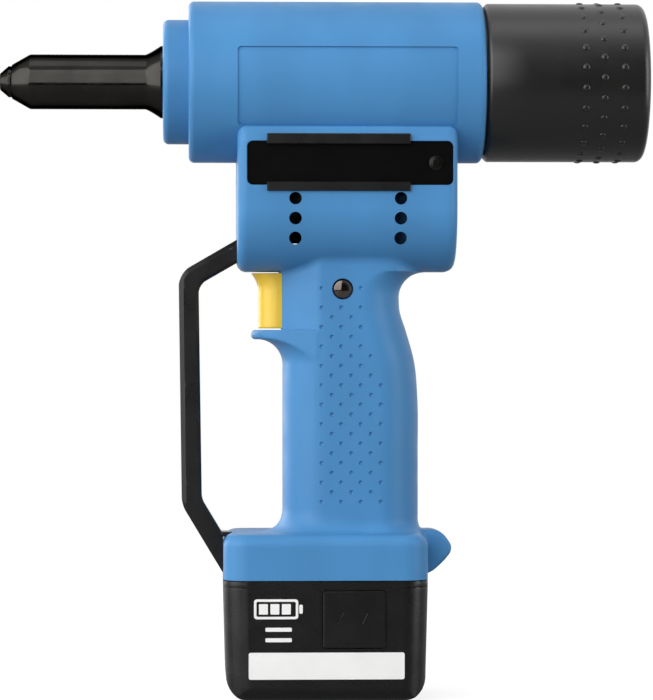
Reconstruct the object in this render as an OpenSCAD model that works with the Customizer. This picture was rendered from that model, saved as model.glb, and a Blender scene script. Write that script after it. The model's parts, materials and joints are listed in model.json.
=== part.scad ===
// Battery rivet tool: a cordless setting tool for blind rivets with a pistol grip,
// a motor box, a round barrel, a steel nose and a container for spent mandrels.
// Millimetres. +Z is up, the nose points to -X, the middle plane is Y = 0.
// The origin is the middle of the battery's resting face.

/* [Battery pack] */
// Length of the pack from front to back
pack_len = 82.6; // [80:0.2:92]
// Width of the pack
pack_w = 62; // [60:0.5:68]
// Height of the foot's seam above the resting face
pack_h = 48.8; // [48:0.2:58]
// Radius of the upright corners of pack and foot
pack_corner_r = 10; // [7:0.5:12]
// Radius of the lower front and rear edges
pack_edge_r = 10; // [4:0.5:12]
// Radius of the lower side edges
pack_side_r = 6; // [3:0.5:9]
// Wall of the tub
pack_wall = 2.4; // [1.8:0.1:3]
// Thickness of the lid
lid_t = 2.5; // [2:0.1:4]
// Length of the connector tower on the lid
tower_len = 50; // [44:0.5:56]
// Width of the connector tower
tower_w = 36; // [32:0.5:40]
// Height of the connector tower
tower_h = 13.2; // [11:0.2:14]
// Radius of one cell
cell_r = 9.15; // [8.8:0.05:9.4]
// Length of one cell
cell_len = 65.2; // [60:0.2:68]
// Length of a release button
button_len = 25.2; // [20:0.2:28]
// Height of a release button
button_h = 22.9; // [18:0.1:24]
// Place of the release buttons behind the middle
button_x = 11.1; // [6:0.1:14]
// Way that a release button goes in
button_travel = 2.5; // [1.5:0.1:3]
// Length of the white label
label_len = 62.6; // [50:0.2:62.8]
// Height of the white label
label_h = 10.8; // [8:0.1:11]

/* [Foot and grip] */
// Height of the foot above its seam
foot_h = 18.4; // [17:0.2:24]
// Height of the grip between foot and motor box
grip_h = 106.2; // [98:0.2:120]
// Front of the grip ahead of the middle
grip_front = 17; // [15:0.2:20]
// Back of the grip behind the middle
grip_rear = 38.5; // [36:0.2:41]
// Half the width of the grip
grip_half_w = 20.5; // [19:0.1:23]
// Length of the tab behind the foot
tab_len = 11; // [8:0.2:14]
// Width of the tab
tab_w = 18; // [12:0.5:24]
// Length of the finger lip under the trigger
lip_len = 12.9; // [10:0.1:15]
// Height of the finger lip with its hollow underside
lip_h = 14.4; // [12:0.2:18]
// Width of the finger lip, whose plan is a circle
lip_w = 34.2; // [30:0.2:38]
// Wall of the two housing halves
shell_wall = 3; // [2.6:0.1:3.4]

/* [Motor box] */
// Front of the motor box ahead of the middle
box_front = 35.7; // [34:0.1:40]
// Back of the motor box behind the middle
box_rear = 52.9; // [52:0.1:56]
// Half the width of the motor box
box_half_w = 31; // [30:0.1:32]
// Height of the motor box up to its ledge
box_h = 58.2; // [57:0.2:60]
// Radius of the rounded belly of the motor box
box_round = 20; // [12:0.5:22]
// Radius of a vent hole
vent_r = 2.4; // [1.5:0.1:3]
// Distance between vent holes in a column
vent_pitch = 7.9; // [7:0.1:9]
// Vent holes in a column
vent_count = 3; // [2:1:3]

/* [Barrel] */
// Outer radius of the barrel
barrel_r = 33; // [32.6:0.1:36]
// Front of the barrel ahead of the middle
barrel_front = 55.4; // [54:0.1:60]
// Back of the barrel behind the middle
barrel_rear = 64.6; // [63:0.1:70]
// Radius of the collar ahead of the barrel
collar_r = 25.4; // [20:0.1:30]
// Length of the collar
collar_len = 10.4; // [8:0.1:14]

/* [Head] */
// Radius of the head sleeve
sleeve_r = 11.2; // [10.8:0.1:12]
// Length of the head sleeve ahead of the collar
sleeve_len = 61.7; // [58:0.1:68]
// Radius of the flare against the collar
flare_r = 14.8; // [13:0.1:18]
// Length of the flare
flare_len = 7.2; // [4:0.1:10]
// Length of the cone at the front of the sleeve
cone_len = 7.4; // [5:0.1:8]
// Radius at the front of that cone
cone_r = 7.1; // [6.4:0.1:8]
// Radius of the bore of the sleeve
sleeve_bore_r = 8.5; // [8:0.1:9]
// Length of the nosepiece ahead of the sleeve
nose_len = 4.9; // [4:0.1:8]
// Radius of the bore for the rivet's mandrel
mandrel_r = 1.45; // [0.9:0.05:1.7]

/* [Pulling drive] */
// Way that the spindle pulls
stroke = 20; // [14:0.5:20]
// Module of the gears
gear_module = 1; // [1:0.01:1.04]
// Teeth of the drive gear
gear_teeth = 50; // [46:2:52]
// Teeth of the idler gear
idler_teeth = 16; // [16:2:18]
// Teeth of the motor pinion
pinion_teeth = 14; // [14:2:16]
// Width of the gears
gear_w = 9; // [7:0.5:10]
// Front face of the gears behind the middle
gear_x = 24; // [22:0.5:26]
// Radius of the pull spindle
spindle_r = 8; // [7:0.1:9]
// Radius of the spindle's slim front
drawbar_r = 5.5; // [5.2:0.1:6]
// Radius of the spindle's bore
spindle_bore_r = 3; // [2.6:0.1:3.2]
// Thickness of the gear frame's plates
plate_t = 6; // [4:0.5:7]
// Radius of the motor
motor_r = 18; // [16:0.5:20]
// Length of the motor
motor_len = 43; // [38:0.5:44]
// Radius of the motor's shaft and of the idler's pin
shaft_r = 2.5; // [2:0.1:3]

/* [Mandrel container] */
// Radius of the container
container_r = 32.4; // [32:0.1:36]
// Length of the container
container_len = 65.6; // [50:0.2:90]
// Wall of the container
container_wall = 3.1; // [2.8:0.1:3.6]
// Length of the spigot that carries the container
spigot_len = 14; // [10:0.2:18]

/* [Trigger] */
// Height of the trigger
trigger_h = 22.5; // [18:0.1:24]
// Width of the trigger
trigger_w = 16; // [12:0.2:17]
// Reach of the trigger ahead of the grip
trigger_out = 9.9; // [8:0.1:12]
// Extra reach at the top of the trigger
trigger_flare = 3; // [0:0.1:4]
// Way that the trigger goes in
trigger_travel = 6; // [4:0.1:6]

/* [Knuckle guard] */
// Thickness of the guard's bar
guard_t = 8.2; // [6:0.1:9]
// Width of the guard's bar
guard_w = 13; // [10:0.2:16]
// Front of the guard at its upper corner, ahead of the middle
guard_top_front = 59.5; // [55:0.1:70]
// Front of the guard at its lower corner, ahead of the middle
guard_low_front = 58.2; // [55:0.1:70]
// Rise of the upper arm in degrees
guard_top_angle = 30; // [20:1:40]
// Slant of the lower arm from upright in degrees
guard_low_angle = 31; // [25:1:40]

/* [Side rail] */
// Length of the side rail
rail_len = 83; // [70:0.5:84]
// Height of the side rail
rail_h = 17.8; // [14:0.1:19]
// Middle of the side rail below the ledge of the motor box
rail_drop = 15; // [14:0.1:17]
// Length of the rail's two lips
rail_lip_len = 57.8; // [40:0.2:64]
// Height of a lip
rail_lip_h = 4.1; // [3:0.1:5]

/* [Hidden] */
$fn = 48;

// Clearances
fit_gap = 0.05;
seat_gap = 0.2;
slide_gap = 0.3;
run_gap = 0.1;
foot_seam = 0.3;
container_seam = 0.8;
over = 1;
arc_steps = 6;

// Heights
foot_top = pack_h + foot_h;
box_bottom = foot_top + grip_h;
box_top = box_bottom + box_h;
under_motor = 8.6;
gear_r = gear_module * gear_teeth / 2;
idler_r = gear_module * idler_teeth / 2;
pinion_r = gear_module * pinion_teeth / 2;
motor_z = box_bottom + shell_wall + under_motor + motor_r;
idler_z = motor_z + pinion_r + idler_r;
axis_z = idler_z + idler_r + gear_r;
rail_z = box_top - rail_drop;
trigger_head_gap = 0.6;
trigger_z0 = box_bottom - trigger_head_gap - trigger_h;
trigger_z1 = trigger_z0 + trigger_h;
lip_gap = 0.4;
lip_top = trigger_z0 - lip_gap;

// Stations along the barrel
barrel_in_r = barrel_r - shell_wall;
collar_x = -barrel_front - collar_len;
wall_x = -barrel_front + shell_wall;
flange_t = 4;
flange_r = 16;
shank_r = 12;
sleeve_rear_x = wall_x + flange_t;
sleeve_front_x = collar_x - sleeve_len;
nose_x = sleeve_front_x - nose_len;
thrust_t = 2.9;
front_plate_x1 = gear_x - run_gap - thrust_t;
front_plate_x0 = front_plate_x1 - plate_t;
plate_gap = 1;
rear_plate_x0 = gear_x + gear_w + plate_gap;
rear_plate_x1 = rear_plate_x0 + plate_t;
motor_x0 = front_plate_x0 - motor_len;
rear_lip_t = 2.6;
adapter_t = 4;
adapter_x1 = barrel_rear - rear_lip_t;
adapter_x0 = adapter_x1 - adapter_t;
seat_depth = 1;
spindle_end_gap = 2;
spindle_x1 = adapter_x0 - spindle_end_gap - stroke;
shoulder_gap = 3.4;
spindle_x0 = sleeve_rear_x + shoulder_gap;

// Head and jaws
nose_seat_len = 9;
nose_shank_r = 5;
nose_shank_gap = 1;
nose_hex_len = 1.6;
nose_tip_r = 2.2;
sleeve_bore_x = sleeve_front_x + nose_seat_len;
jaw_gap = 1.5;
jaw_x0 = sleeve_bore_x + jaw_gap;
jaw_len = 37;
jaw_x1 = jaw_x0 + jaw_len;
jaw_r = sleeve_bore_r - slide_gap;
thread_len = 10;
drawbar_x0 = jaw_x1 - thread_len;
jaw_bore_r = drawbar_r + fit_gap;
jaw_lip_t = 1;
jaw_mouth_r = 2.3;
jaw_cone_len = 10;
jaw_cone_x = jaw_x0 + jaw_lip_t + jaw_cone_len;
jaw_front_gap = 1.4;
jaw_hole_r = mandrel_r + fit_gap;
jaw_angle = 112;
pusher_len = 6;
jaw_spring_wire_r = 0.6;

// Drive details
backlash = 0.12;
pressure_angle = 20;
flank_steps = 4;
root_share = 1.25;
hub_wall = 3;
hub_r = spindle_r + hub_wall;
thrust_r = 17;
bearing_r = 15;
tongue_half_w = 22;
post_r = 3;
post_y = 19;
post_drop = 4;
frame_stop_t = 2.5;
frame_stop_h = 5;
tube_r = spindle_bore_r - slide_gap;
tube_wall = 0.6;
tube_bore_r = tube_r - tube_wall;
tube_back = 10;
tube_front_gap = 56;
thrust_tube_wall = 4;
thrust_tube_r = thrust_r;
guide_pin_r = 2.5;
guide_pin_gap = 5;
guide_slot_end = 1.5;
can_wall = 1.5;
magnet_t = 2.9;
air_gap = 0.3;
magnet_angle = 130;
magnet_end = 4;
motor_screw_r = 1.5;
motor_screw_head_r = 2.6;
motor_screw_head_t = 2;
motor_screw_y = 12;
saddle_t = 2.5;
saddle_shares = [0.15, 0.8];

// Container details
container_x0 = barrel_rear + container_seam;
container_in_r = container_r - container_wall;
spigot_r = container_in_r - slide_gap;
spigot_wall = 3;
neck_step = 1;
neck_r = min(spigot_r, barrel_in_r - neck_step);
spigot_bore_r = neck_r - spigot_wall;
spigot_x1 = adapter_x1 + spigot_len;
seal_r = 0.9;
seal_gap = 0.15;
seal_x = (barrel_rear + spigot_x1) / 2;
seal_ring_r = container_in_r - seal_gap - seal_r;
container_edge = 1.2;
container_round = 3.5;

// Grip details: each row is height, front, back and half width, as shares of the grip's own sizes
grip_sides = 20;
grip_power = 2.6;
grip_shares = [
    [-0.06, 1.34, 1.05, 1.05],
    [0.01, 1.30, 1.03, 1.05],
    [0.03, 1.08, 1.00, 1.01],
    [0.06, 1.00, 1.00, 1.00],
    [0.50, 1.00, 1.00, 1.00],
    [0.62, 1.00, 0.97, 1.00],
    [0.71, 1.00, 0.925, 0.99],
    [0.80, 1.00, 0.845, 0.97],
    [0.86, 1.00, 0.80, 0.96],
    [0.91, 1.00, 0.805, 0.97],
    [0.95, 1.00, 0.86, 1.00],
    [0.99, 1.00, 0.95, 1.05],
    [1.09, 1.00, 1.10, 1.10]
];
lip_shares = [
    [-0.25, 1], [0.94, 1], [1, 0.9], [0.94, 0.72], [0.8, 0.715],
    [0.4, 0.62], [0.14, 0.41], [0.03, 0.18], [0, 0], [-0.25, 0]
];
tab_shares = [[-0.3, 1.05], [0.54, 1.05], [1, 0.61], [0.27, 0.12], [-0.3, 0.12]];
socket_gap = 0.5;
socket_wall = 2;

// Pegs and bosses inside the halves
peg_r = 2.5;
peg_sink = 0.9;
peg_reach = grip_half_w - shell_wall + peg_sink;
boss_r = 4.8;
screw_r = 1.5;
screw_head_r = 3;
screw_head_t = 2.4;
screw_seat = 11;
screw_reach = 11;
boss_gap = 10;
boss_inset = 7;
boss_off = max(barrel_in_r - boss_inset, thrust_tube_r + boss_r + run_gap);
boss_corner = 11;
boss_lift = 8.6;
grip_boss_lift = 8.4;
grip_boss_inset = 12;
barrel_boss_reach = 16.5;
box_boss_reach = 20;
grip_boss_reach = 14.2;
housing_screw_spots = [
    [-barrel_front + boss_gap + boss_r, axis_z + boss_off, barrel_boss_reach],
    [-barrel_front + boss_gap + boss_r, axis_z - boss_off, barrel_boss_reach],
    [adapter_x0 - boss_gap, axis_z + boss_off, barrel_boss_reach],
    [adapter_x0 - boss_gap, axis_z - boss_off, barrel_boss_reach],
    [box_rear - boss_corner, box_bottom + boss_lift, box_boss_reach],
    [-grip_front + grip_boss_inset, foot_top + grip_boss_lift, grip_boss_reach],
    [grip_rear - grip_boss_inset, foot_top + grip_boss_lift, grip_boss_reach]
];

// Grip bolt
bolt_x = 6.9;
bolt_drop = 7.3;
bolt_z = box_bottom - bolt_drop;
bolt_head_r = 4.1;
bolt_head_t = 1.6;
bolt_rim_t = 0.5;
bolt_r = 3.2;
bolt_thread_r = 2;
bolt_boss_r = 5.5;
bolt_sink = 1.5;
bolt_seat = grip_half_w - bolt_sink;
bolt_split = 8;
bolt_end = 10;

// Trigger and switch
trigger_half_w = trigger_w / 2;
trigger_gap = 0.3;
trigger_side_gap = 0.4;
trigger_in = 9;
trigger_x1 = -grip_front + trigger_in;
trigger_flange_side = 1.9;
trigger_flange_w = trigger_w + 2 * trigger_flange_side;
trigger_flange_t = 2.6;
trigger_shares = [0.45, 0.75];
switch_gap = 10;
switch_x0 = trigger_x1 + switch_gap;
switch_len = 24;
switch_h = 14;
switch_half_w = 9;
switch_drop = 4.5;
switch_z0 = trigger_z0 - switch_drop;
switch_peg_shares = [0.2, 0.6];
plunger_r = 2;
plunger_len = 16;
plunger_z = switch_z0 + switch_h / 2;
plunger_hole_len = 14.5;
trigger_spring_r = 3.6;
trigger_spring_wire_r = 0.4;

// Board, terminal block and leads
board_len = 30;
board_h = 62;
board_t = 1.6;
board_x = 11;
board_rise = 45.5;
board_z = foot_top + board_rise;
board_part_t = 3;
board_part_shares = [[-0.2, 0.3, 0.3, 0.2], [0.22, -0.15, 0.25, 0.35], [-0.1, -0.25, 0.5, 0.22]];
board_peg_inset = 5;
block_len = 28;
block_half_w = 12;
block_h = 7;
block_gap = 1.5;
block_x = 10;
block_z0 = pack_h - foot_seam + tower_h + block_gap;
pin_t = 1;
pin_w = 8;
pin_len = 10;
pin_pitch = 9;
pin_slot_gap = 0.5;
clip_t = 4;
clip_h = 9;
clip_slot_gap = 0.15;
clip_floor = 1.3;
lead_r = 1;
power_lead_y = 7;
motor_lead_y = 5;
motor_lead_x = bolt_x + bolt_boss_r + lead_r + seat_gap;

// Guard details
guard_root_lift = 3.6;
guard_root_z = box_bottom + guard_root_lift;
guard_root_h = guard_t / cos(guard_top_angle);
guard_head_t = 2.6;
guard_head_w = 20;
guard_tenon_inset = 0.4;
guard_foot_lift = 1.4;
guard_foot_z = pack_h + guard_foot_lift;
guard_low_h = guard_t / sin(guard_low_angle);
guard_low_tenon_z = 5.2;
guard_low_tenon_h = 7;
guard_low_tenon_w = 8;
guard_low_head_w = 13.4;
guard_tongue_len = 3.4;
guard_tongue_t = 2.1;

// Rail details
rail_x = 9.5;
rail_pocket_depth = 2;
rail_floor_t = 1;
rail_proud = 1.2;
rail_lip_shift = 4.6;
rail_screw_inset = 6.8;
rail_screw_head_r = 3;
rail_screw_head_t = 0.9;
rail_screw_len = 5;
rail_boss_r = 3.4;
rail_boss_len = 5;
vent_front_x = -12.2;
vent_rear_x = 30.2;
vent_lift = 12.8;

// Pack details
pack_top = pack_h - foot_seam;
lid_z = pack_top - lid_t;
tower_wall = 2;
tower_top = pack_top + tower_h;
cell_gap = 0.2;
holder_wall = 1.2;
holder_len = 56;
holder_z = pack_wall;
cell_z0 = holder_z + holder_wall + cell_gap + cell_r;
cell_pitch = 2 * cell_r + cell_gap;
holder_half_w = cell_pitch / 2 + cell_r + cell_gap + holder_wall;
holder_h = 2 * (holder_wall + cell_gap + cell_r) + cell_pitch;
link_t = 0.3;
link_w_share = 0.9;
pack_post_r = 3;
pack_post_inset = 7.6;
pack_screw_r = 1.4;
pack_screw_head_r = 2.4;
pack_screw_head_t = 1.8;
pack_screw_sink = 0.6;
pack_screw_bite = 1.4;
button_top_gap = 1.4;
button_z = lid_z - button_top_gap - button_h / 2;
button_gap = 0.3;
button_flange = 1.2;
button_flange_t = 1.3;
button_stop_r = 1.8;
button_spring_r = 3;
button_spring_wire_r = 0.4;
label_t = 0.2;
label_lift = 3;
label_z = pack_side_r + label_lift + label_h / 2 + label_t;

// Points of an arc around a centre, from angle a0 to angle a1
function arc(cx, cy, r, a0, a1) = [
    for (i = [0:arc_steps])
        let (a = a0 + (a1 - a0) * i / arc_steps)
        [cx + r * cos(a), cy + r * sin(a)]
];

// Rectangle with four round corners, around the origin
function round_rect(l, w, r) = concat(
    arc(l / 2 - r, w / 2 - r, r, 0, 90),
    arc(r - l / 2, w / 2 - r, r, 90, 180),
    arc(r - l / 2, r - w / 2, r, 180, 270),
    arc(l / 2 - r, r - w / 2, r, 270, 360)
);

// Upright outline with a round belly: half width, bottom, top, belly radius
function belly(half, z0, z1, r) = concat(
    [[half, z1]],
    [[-half, z1]],
    arc(r - half, z0 + r, r, 180, 270),
    arc(half - r, z0 + r, r, 270, 360)
);

// One level outline of the grip between its front and its back
function grip_section(front, rear, half) = [
    for (i = [0:grip_sides - 1])
        let (
            a = (i + 0.5) * 360 / grip_sides,
            mid = (rear - front) / 2,
            reach = (rear + front) / 2,
            c = sign(cos(a)) * pow(abs(cos(a)), 2 / grip_power),
            s = sign(sin(a)) * pow(abs(sin(a)), 2 / grip_power)
        )
        [mid + reach * c, half * s]
];

// Faces of a skin over rings of equal counts, closed at both ends
function skin_faces(rings, sides) = concat(
    [[for (i = [0:sides - 1]) i]],
    [[for (i = [0:sides - 1]) rings * sides - 1 - i]],
    [
        for (r = [0:rings - 2], i = [0:sides - 1])
            let (j = (i + 1) % sides)
            [r * sides + i, (r + 1) * sides + i, (r + 1) * sides + j]
    ],
    [
        for (r = [0:rings - 2], i = [0:sides - 1])
            let (j = (i + 1) % sides)
            [r * sides + i, (r + 1) * sides + j, r * sides + j]
    ]
);

function involute(a) = tan(a) * 180 / PI - a;

// Half the angle of a tooth at a radius
function tooth_half(teeth, r) =
    let (
        pitch_r = gear_module * teeth / 2,
        base_r = pitch_r * cos(pressure_angle),
        thin = backlash / pitch_r * 180 / PI
    )
    90 / teeth - thin + involute(pressure_angle) - involute(acos(min(1, base_r / r)));

// Outline of a gear with its first tooth turned by phase
function gear_outline(teeth, phase) =
    let (
        pitch_r = gear_module * teeth / 2,
        base_r = pitch_r * cos(pressure_angle),
        root_r = pitch_r - root_share * gear_module,
        tip_r = pitch_r + gear_module,
        low_r = max(base_r, root_r),
        radii = [for (k = [0:flank_steps]) low_r + (tip_r - low_r) * k / flank_steps]
    )
    [
        for (t = [0:teeth - 1])
            let (
                mid = phase + 360 * t / teeth,
                right = concat([root_r], radii),
                side = [for (r = right) [r, tooth_half(teeth, max(r, low_r))]],
                points = concat(
                    [for (p = side) [p[0], mid - p[1]]],
                    [for (k = [flank_steps + 1:-1:0]) [side[k][0], mid + side[k][1]]]
                )
            )
            each [for (p = points) [p[0] * cos(p[1]), p[0] * sin(p[1])]]
    ];

// Outline in Y and Z, drawn out along X
module along_x(x0, x1) {
    translate([x0, 0, 0]) rotate([90, 0, 90]) linear_extrude(x1 - x0) children();
}

// Outline in X and Z, drawn out to both sides of the middle plane
module along_y(width) {
    rotate([90, 0, 0]) linear_extrude(width, center = true) children();
}

// Round bar along X at a height
module rod_x(x0, x1, r, z) {
    translate([x0, 0, z]) rotate([0, 90, 0]) cylinder(h = x1 - x0, r = r);
}

// Round bar along Y
module rod_y(x, z, y0, y1, r) {
    translate([x, y0, z]) rotate([-90, 0, 0]) cylinder(h = y1 - y0, r = r);
}

// Turned piece on the barrel's axis, from points of radius and X
module turned(points) {
    translate([0, 0, axis_z]) rotate([0, 90, 0]) rotate_extrude() polygon(points);
}

// Part of a turned piece over an angle, turned about an axis at a height
module turned_part(points, angle, turn, z) {
    translate([0, 0, z]) rotate([turn, 0, 0]) rotate([0, 90, 0])
        rotate_extrude(angle = angle) polygon(points);
}

// Block between two corners
module block(low, high) {
    translate(low) cube(high - low);
}

// Both sides of the middle plane
module both_sides() {
    children();
    mirror([0, 1, 0]) children();
}

// Coil spring along Z from 0 to its length
module coil(coil_r, wire_r, length, turns) {
    steps = 10;
    sides = 6;
    rings = turns * steps;
    rise = length - 2 * wire_r;
    slope = atan(rise / (turns * 2 * PI * coil_r));
    points = [
        for (k = [0:rings], i = [0:sides - 1])
            let (
                a = 360 * k / steps,
                b = 360 * i / sides,
                out = coil_r + wire_r * cos(b),
                up = wire_r * sin(b) * cos(slope),
                back = wire_r * sin(b) * sin(slope)
            )
            [out * cos(a) + back * sin(a), out * sin(a) - back * cos(a), wire_r + rise * k / rings + up]
    ];
    polyhedron(points, skin_faces(rings + 1, sides));
}

// Grip as a skin over its rows, set in by a wall
module grip_form(inset) {
    points = [
        for (s = grip_shares)
            let (
                z = foot_top + s[0] * grip_h - inset,
                outline = grip_section(s[1] * grip_front - inset, s[2] * grip_rear - inset,
                    s[3] * grip_half_w - inset)
            )
            each [for (p = outline) [p[0], p[1], z]]
    ];
    polyhedron(points, skin_faces(len(grip_shares), grip_sides));
}

// Outside of both housing halves together
module housing_outside() {
    rod_x(-barrel_front, barrel_rear, barrel_r, axis_z);
    rod_x(collar_x, -barrel_front + over, collar_r, axis_z);
    along_x(-box_front, box_rear) polygon(belly(box_half_w, box_bottom, box_top, box_round));
    grip_form(0);
    translate([0, 0, pack_h]) linear_extrude(foot_h) polygon(round_rect(pack_len, pack_w, pack_corner_r));
    along_y(tab_w) polygon([for (p = tab_shares) [pack_len / 2 + p[0] * tab_len, pack_h + p[1] * foot_h]]);
    intersection() {
        along_y(lip_w) polygon([
            for (p = lip_shares) [-grip_front - p[0] * lip_len, lip_top - (1 - p[1]) * lip_h]
        ]);
        translate([lip_w / 2 - grip_front - lip_len, 0, lip_top - lip_h - over])
            cylinder(h = lip_h + 2 * over, r = lip_w / 2);
    }
}

// Hollow of both housing halves together
module housing_hollow() {
    inner_round = box_round - shell_wall;
    rod_x(wall_x, adapter_x0 + over, barrel_in_r, axis_z);
    rod_x(adapter_x0, adapter_x1, barrel_in_r + seat_depth, axis_z);
    rod_x(adapter_x0, barrel_rear + over, neck_r + seat_gap, axis_z);
    rod_x(gear_x - run_gap, gear_x + gear_w + run_gap, gear_r + gear_module + slide_gap, axis_z);
    rod_x(collar_x - over, wall_x + over, shank_r + fit_gap, axis_z);
    along_x(shell_wall - box_front, box_rear - shell_wall)
        polygon(belly(box_half_w - shell_wall, box_bottom + shell_wall, box_top - shell_wall, inner_round));
    grip_form(shell_wall);
    difference() {
        translate([0, 0, pack_h - over])
            linear_extrude(foot_h - shell_wall + over)
                polygon(round_rect(pack_len - 2 * shell_wall, pack_w - 2 * shell_wall,
                    pack_corner_r - shell_wall));
        socket(socket_gap + socket_wall, 2 * over);
    }
    socket(socket_gap, over);
    trigger_room();
}

// Block around the battery's connector tower, wider by a gap all round
module socket(gap, below) {
    block([-tower_len / 2 - gap, -tower_w / 2 - gap, pack_h - below],
        [tower_len / 2 + gap, tower_w / 2 + gap, foot_top - shell_wall]);
}

// Room for the trigger's mouth and its flange
module trigger_room() {
    mouth = trigger_half_w + trigger_side_gap;
    flange = trigger_flange_w / 2 + slide_gap;
    block([-grip_front - over, -mouth, trigger_z0 - trigger_gap],
        [trigger_x1, mouth, trigger_z1 + trigger_gap]);
    block([-grip_front + shell_wall, -flange, trigger_z0 - over],
        [trigger_x1 + trigger_travel, flange, trigger_z1 + over]);
}

// Saddles, stop ring, pegs and screw bosses that grow from the inside of the halves
module housing_ribs() {
    half_wall = shell_wall / 2;
    for (s = saddle_shares) {
        x = motor_x0 + s * motor_len;
        along_x(x, x + saddle_t) difference() {
            polygon(belly(box_half_w - half_wall, box_bottom + half_wall, motor_z, box_round - half_wall));
            translate([0, motor_z]) circle(motor_r + run_gap);
        }
    }
    difference() {
        rod_x(rear_plate_x1, rear_plate_x1 + frame_stop_t, barrel_in_r + half_wall, axis_z);
        rod_x(rear_plate_x1 - over, rear_plate_x1 + frame_stop_t + over, barrel_in_r - frame_stop_h, axis_z);
        block([rear_plate_x1 - over, -barrel_r, axis_z - barrel_r],
            [rear_plate_x1 + frame_stop_t + over, barrel_r, axis_z]);
    }
    for (s = housing_screw_spots) rod_y(s[0], s[1], -s[2], s[2], boss_r);
    rod_y(bolt_x, bolt_z, -bolt_seat, bolt_seat, bolt_boss_r);
    both_sides() {
        for (x = [-1, 1], z = [-1, 1])
            rod_y(board_x + x * (board_len / 2 - board_peg_inset),
                board_z + z * (board_h / 2 - board_peg_inset), board_t / 2, peg_reach, peg_r);
        for (s = switch_peg_shares)
            rod_y(switch_x0 + s * switch_len, switch_z0 + switch_h / 2, switch_half_w, peg_reach, peg_r);
        for (x = [peg_r, block_len - peg_r])
            rod_y(block_x - block_len / 2 + x, foot_top - shell_wall / 2, block_half_w,
                grip_half_w, shell_wall / 2 + seat_gap);
        rod_y(rail_x + rail_len / 2 - rail_screw_inset, rail_z,
            box_half_w - shell_wall - rail_boss_len, box_half_w - shell_wall + seat_gap, rail_boss_r);
    }
}

// Openings through the walls of the halves
module housing_cuts() {
    half = box_half_w + over;
    for (x = [vent_front_x, vent_rear_x], i = [0:vent_count - 1])
        rod_y(x, box_bottom + vent_lift + i * vent_pitch, -half, half, vent_r);
    both_sides() {
        block([rail_x - rail_len / 2, box_half_w - rail_pocket_depth, rail_z - rail_h / 2],
            [rail_x + rail_len / 2, half, rail_z + rail_h / 2]);
        rod_y(rail_x + rail_len / 2 - rail_screw_inset, rail_z,
            box_half_w - shell_wall - rail_boss_len - over, half, screw_r + fit_gap);
        rod_y(bolt_x, bolt_z, bolt_seat, grip_half_w + 2 * over, bolt_head_r + seat_gap);
    }
    rod_y(bolt_x, bolt_z, -bolt_seat - over, bolt_seat + over, bolt_r + fit_gap);
    for (s = housing_screw_spots) {
        rod_y(s[0], s[1], -screw_reach - over, screw_seat + over, screw_r + fit_gap);
        rod_y(s[0], s[1], screw_seat, half, screw_head_r + seat_gap);
    }
    guard_slots();
}

// Slots that hold the knuckle guard
module guard_slots() {
    side = guard_w / 2 - guard_tenon_inset + seat_gap;
    low_side = guard_low_tenon_w / 2 + seat_gap;
    tongue_z = foot_top - guard_tongue_t;
    block([-box_front - over, -side, guard_root_z + guard_tenon_inset - seat_gap],
        [-box_front + shell_wall + over, side, guard_root_z + guard_root_h - guard_tenon_inset + seat_gap]);
    block([-pack_len / 2 - over, -low_side, guard_foot_z + guard_low_tenon_z - seat_gap],
        [-pack_len / 2 + shell_wall + over, low_side,
            guard_foot_z + guard_low_tenon_z + guard_low_tenon_h + seat_gap]);
    block([-pack_len / 2 - over, -guard_w / 2, tongue_z],
        [-pack_len / 2 + guard_tongue_len + seat_gap, guard_w / 2, foot_top + over]);
}

// One half of the housing: -1 is the left half, 1 the right half
module housing_half(side) {
    front = sleeve_len + barrel_front;
    y0 = min(0, side * (barrel_r + over));
    color("#4c8bc4") intersection() {
        difference() {
            union() {
                difference() {
                    union() housing_outside();
                    union() housing_hollow();
                }
                housing_ribs();
            }
            housing_cuts();
        }
        block([-front, y0, 0], [front, y0 + barrel_r + over, axis_z + barrel_r + over]);
    }
}

module housing_left() {
    housing_half(-1);
}

module housing_right() {
    housing_half(1);
}

// Accessory rail let into the side of the motor box, drawn for the +Y side
module side_rail() {
    face = box_half_w;
    floor_y = face - rail_pocket_depth;
    half_len = rail_len / 2 - seat_gap;
    half_h = rail_h / 2 - seat_gap;
    lip_x0 = rail_x - rail_lip_len / 2 - rail_lip_shift;
    screw_x = rail_x + rail_len / 2 - rail_screw_inset;
    color("#1c1c1e") difference() {
        union() {
            block([rail_x - half_len, floor_y, rail_z - half_h],
                [rail_x + half_len, floor_y + rail_floor_t, rail_z + half_h]);
            for (up = [0, 1]) translate([0, 0, rail_z]) mirror([0, 0, up]) {
                block([lip_x0, floor_y, half_h - rail_floor_t],
                    [lip_x0 + rail_lip_len, face + rail_proud, half_h]);
                block([lip_x0, face + fit_gap, half_h - rail_floor_t],
                    [lip_x0 + rail_lip_len, face + rail_proud, half_h - rail_floor_t + rail_lip_h]);
            }
        }
        rod_y(screw_x, rail_z, floor_y - over, face + over, screw_r + fit_gap);
    }
}

module side_rail_left() {
    mirror([0, 1, 0]) side_rail();
}

module side_rail_right() {
    side_rail();
}

module rail_screws() {
    seat = box_half_w - rail_pocket_depth + rail_floor_t;
    x = rail_x + rail_len / 2 - rail_screw_inset;
    color("#2a2a2c") both_sides() {
        rod_y(x, rail_z, seat, seat + rail_screw_head_t, rail_screw_head_r);
        rod_y(x, rail_z, seat - rail_screw_len, seat + rail_screw_head_t / 2, screw_r);
    }
}

module housing_screws() {
    color("#8d8f93") for (s = housing_screw_spots) {
        rod_y(s[0], s[1], screw_seat, screw_seat + screw_head_t, screw_head_r);
        rod_y(s[0], s[1], -screw_reach, screw_seat + screw_head_t / 2, screw_r);
    }
}

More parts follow.
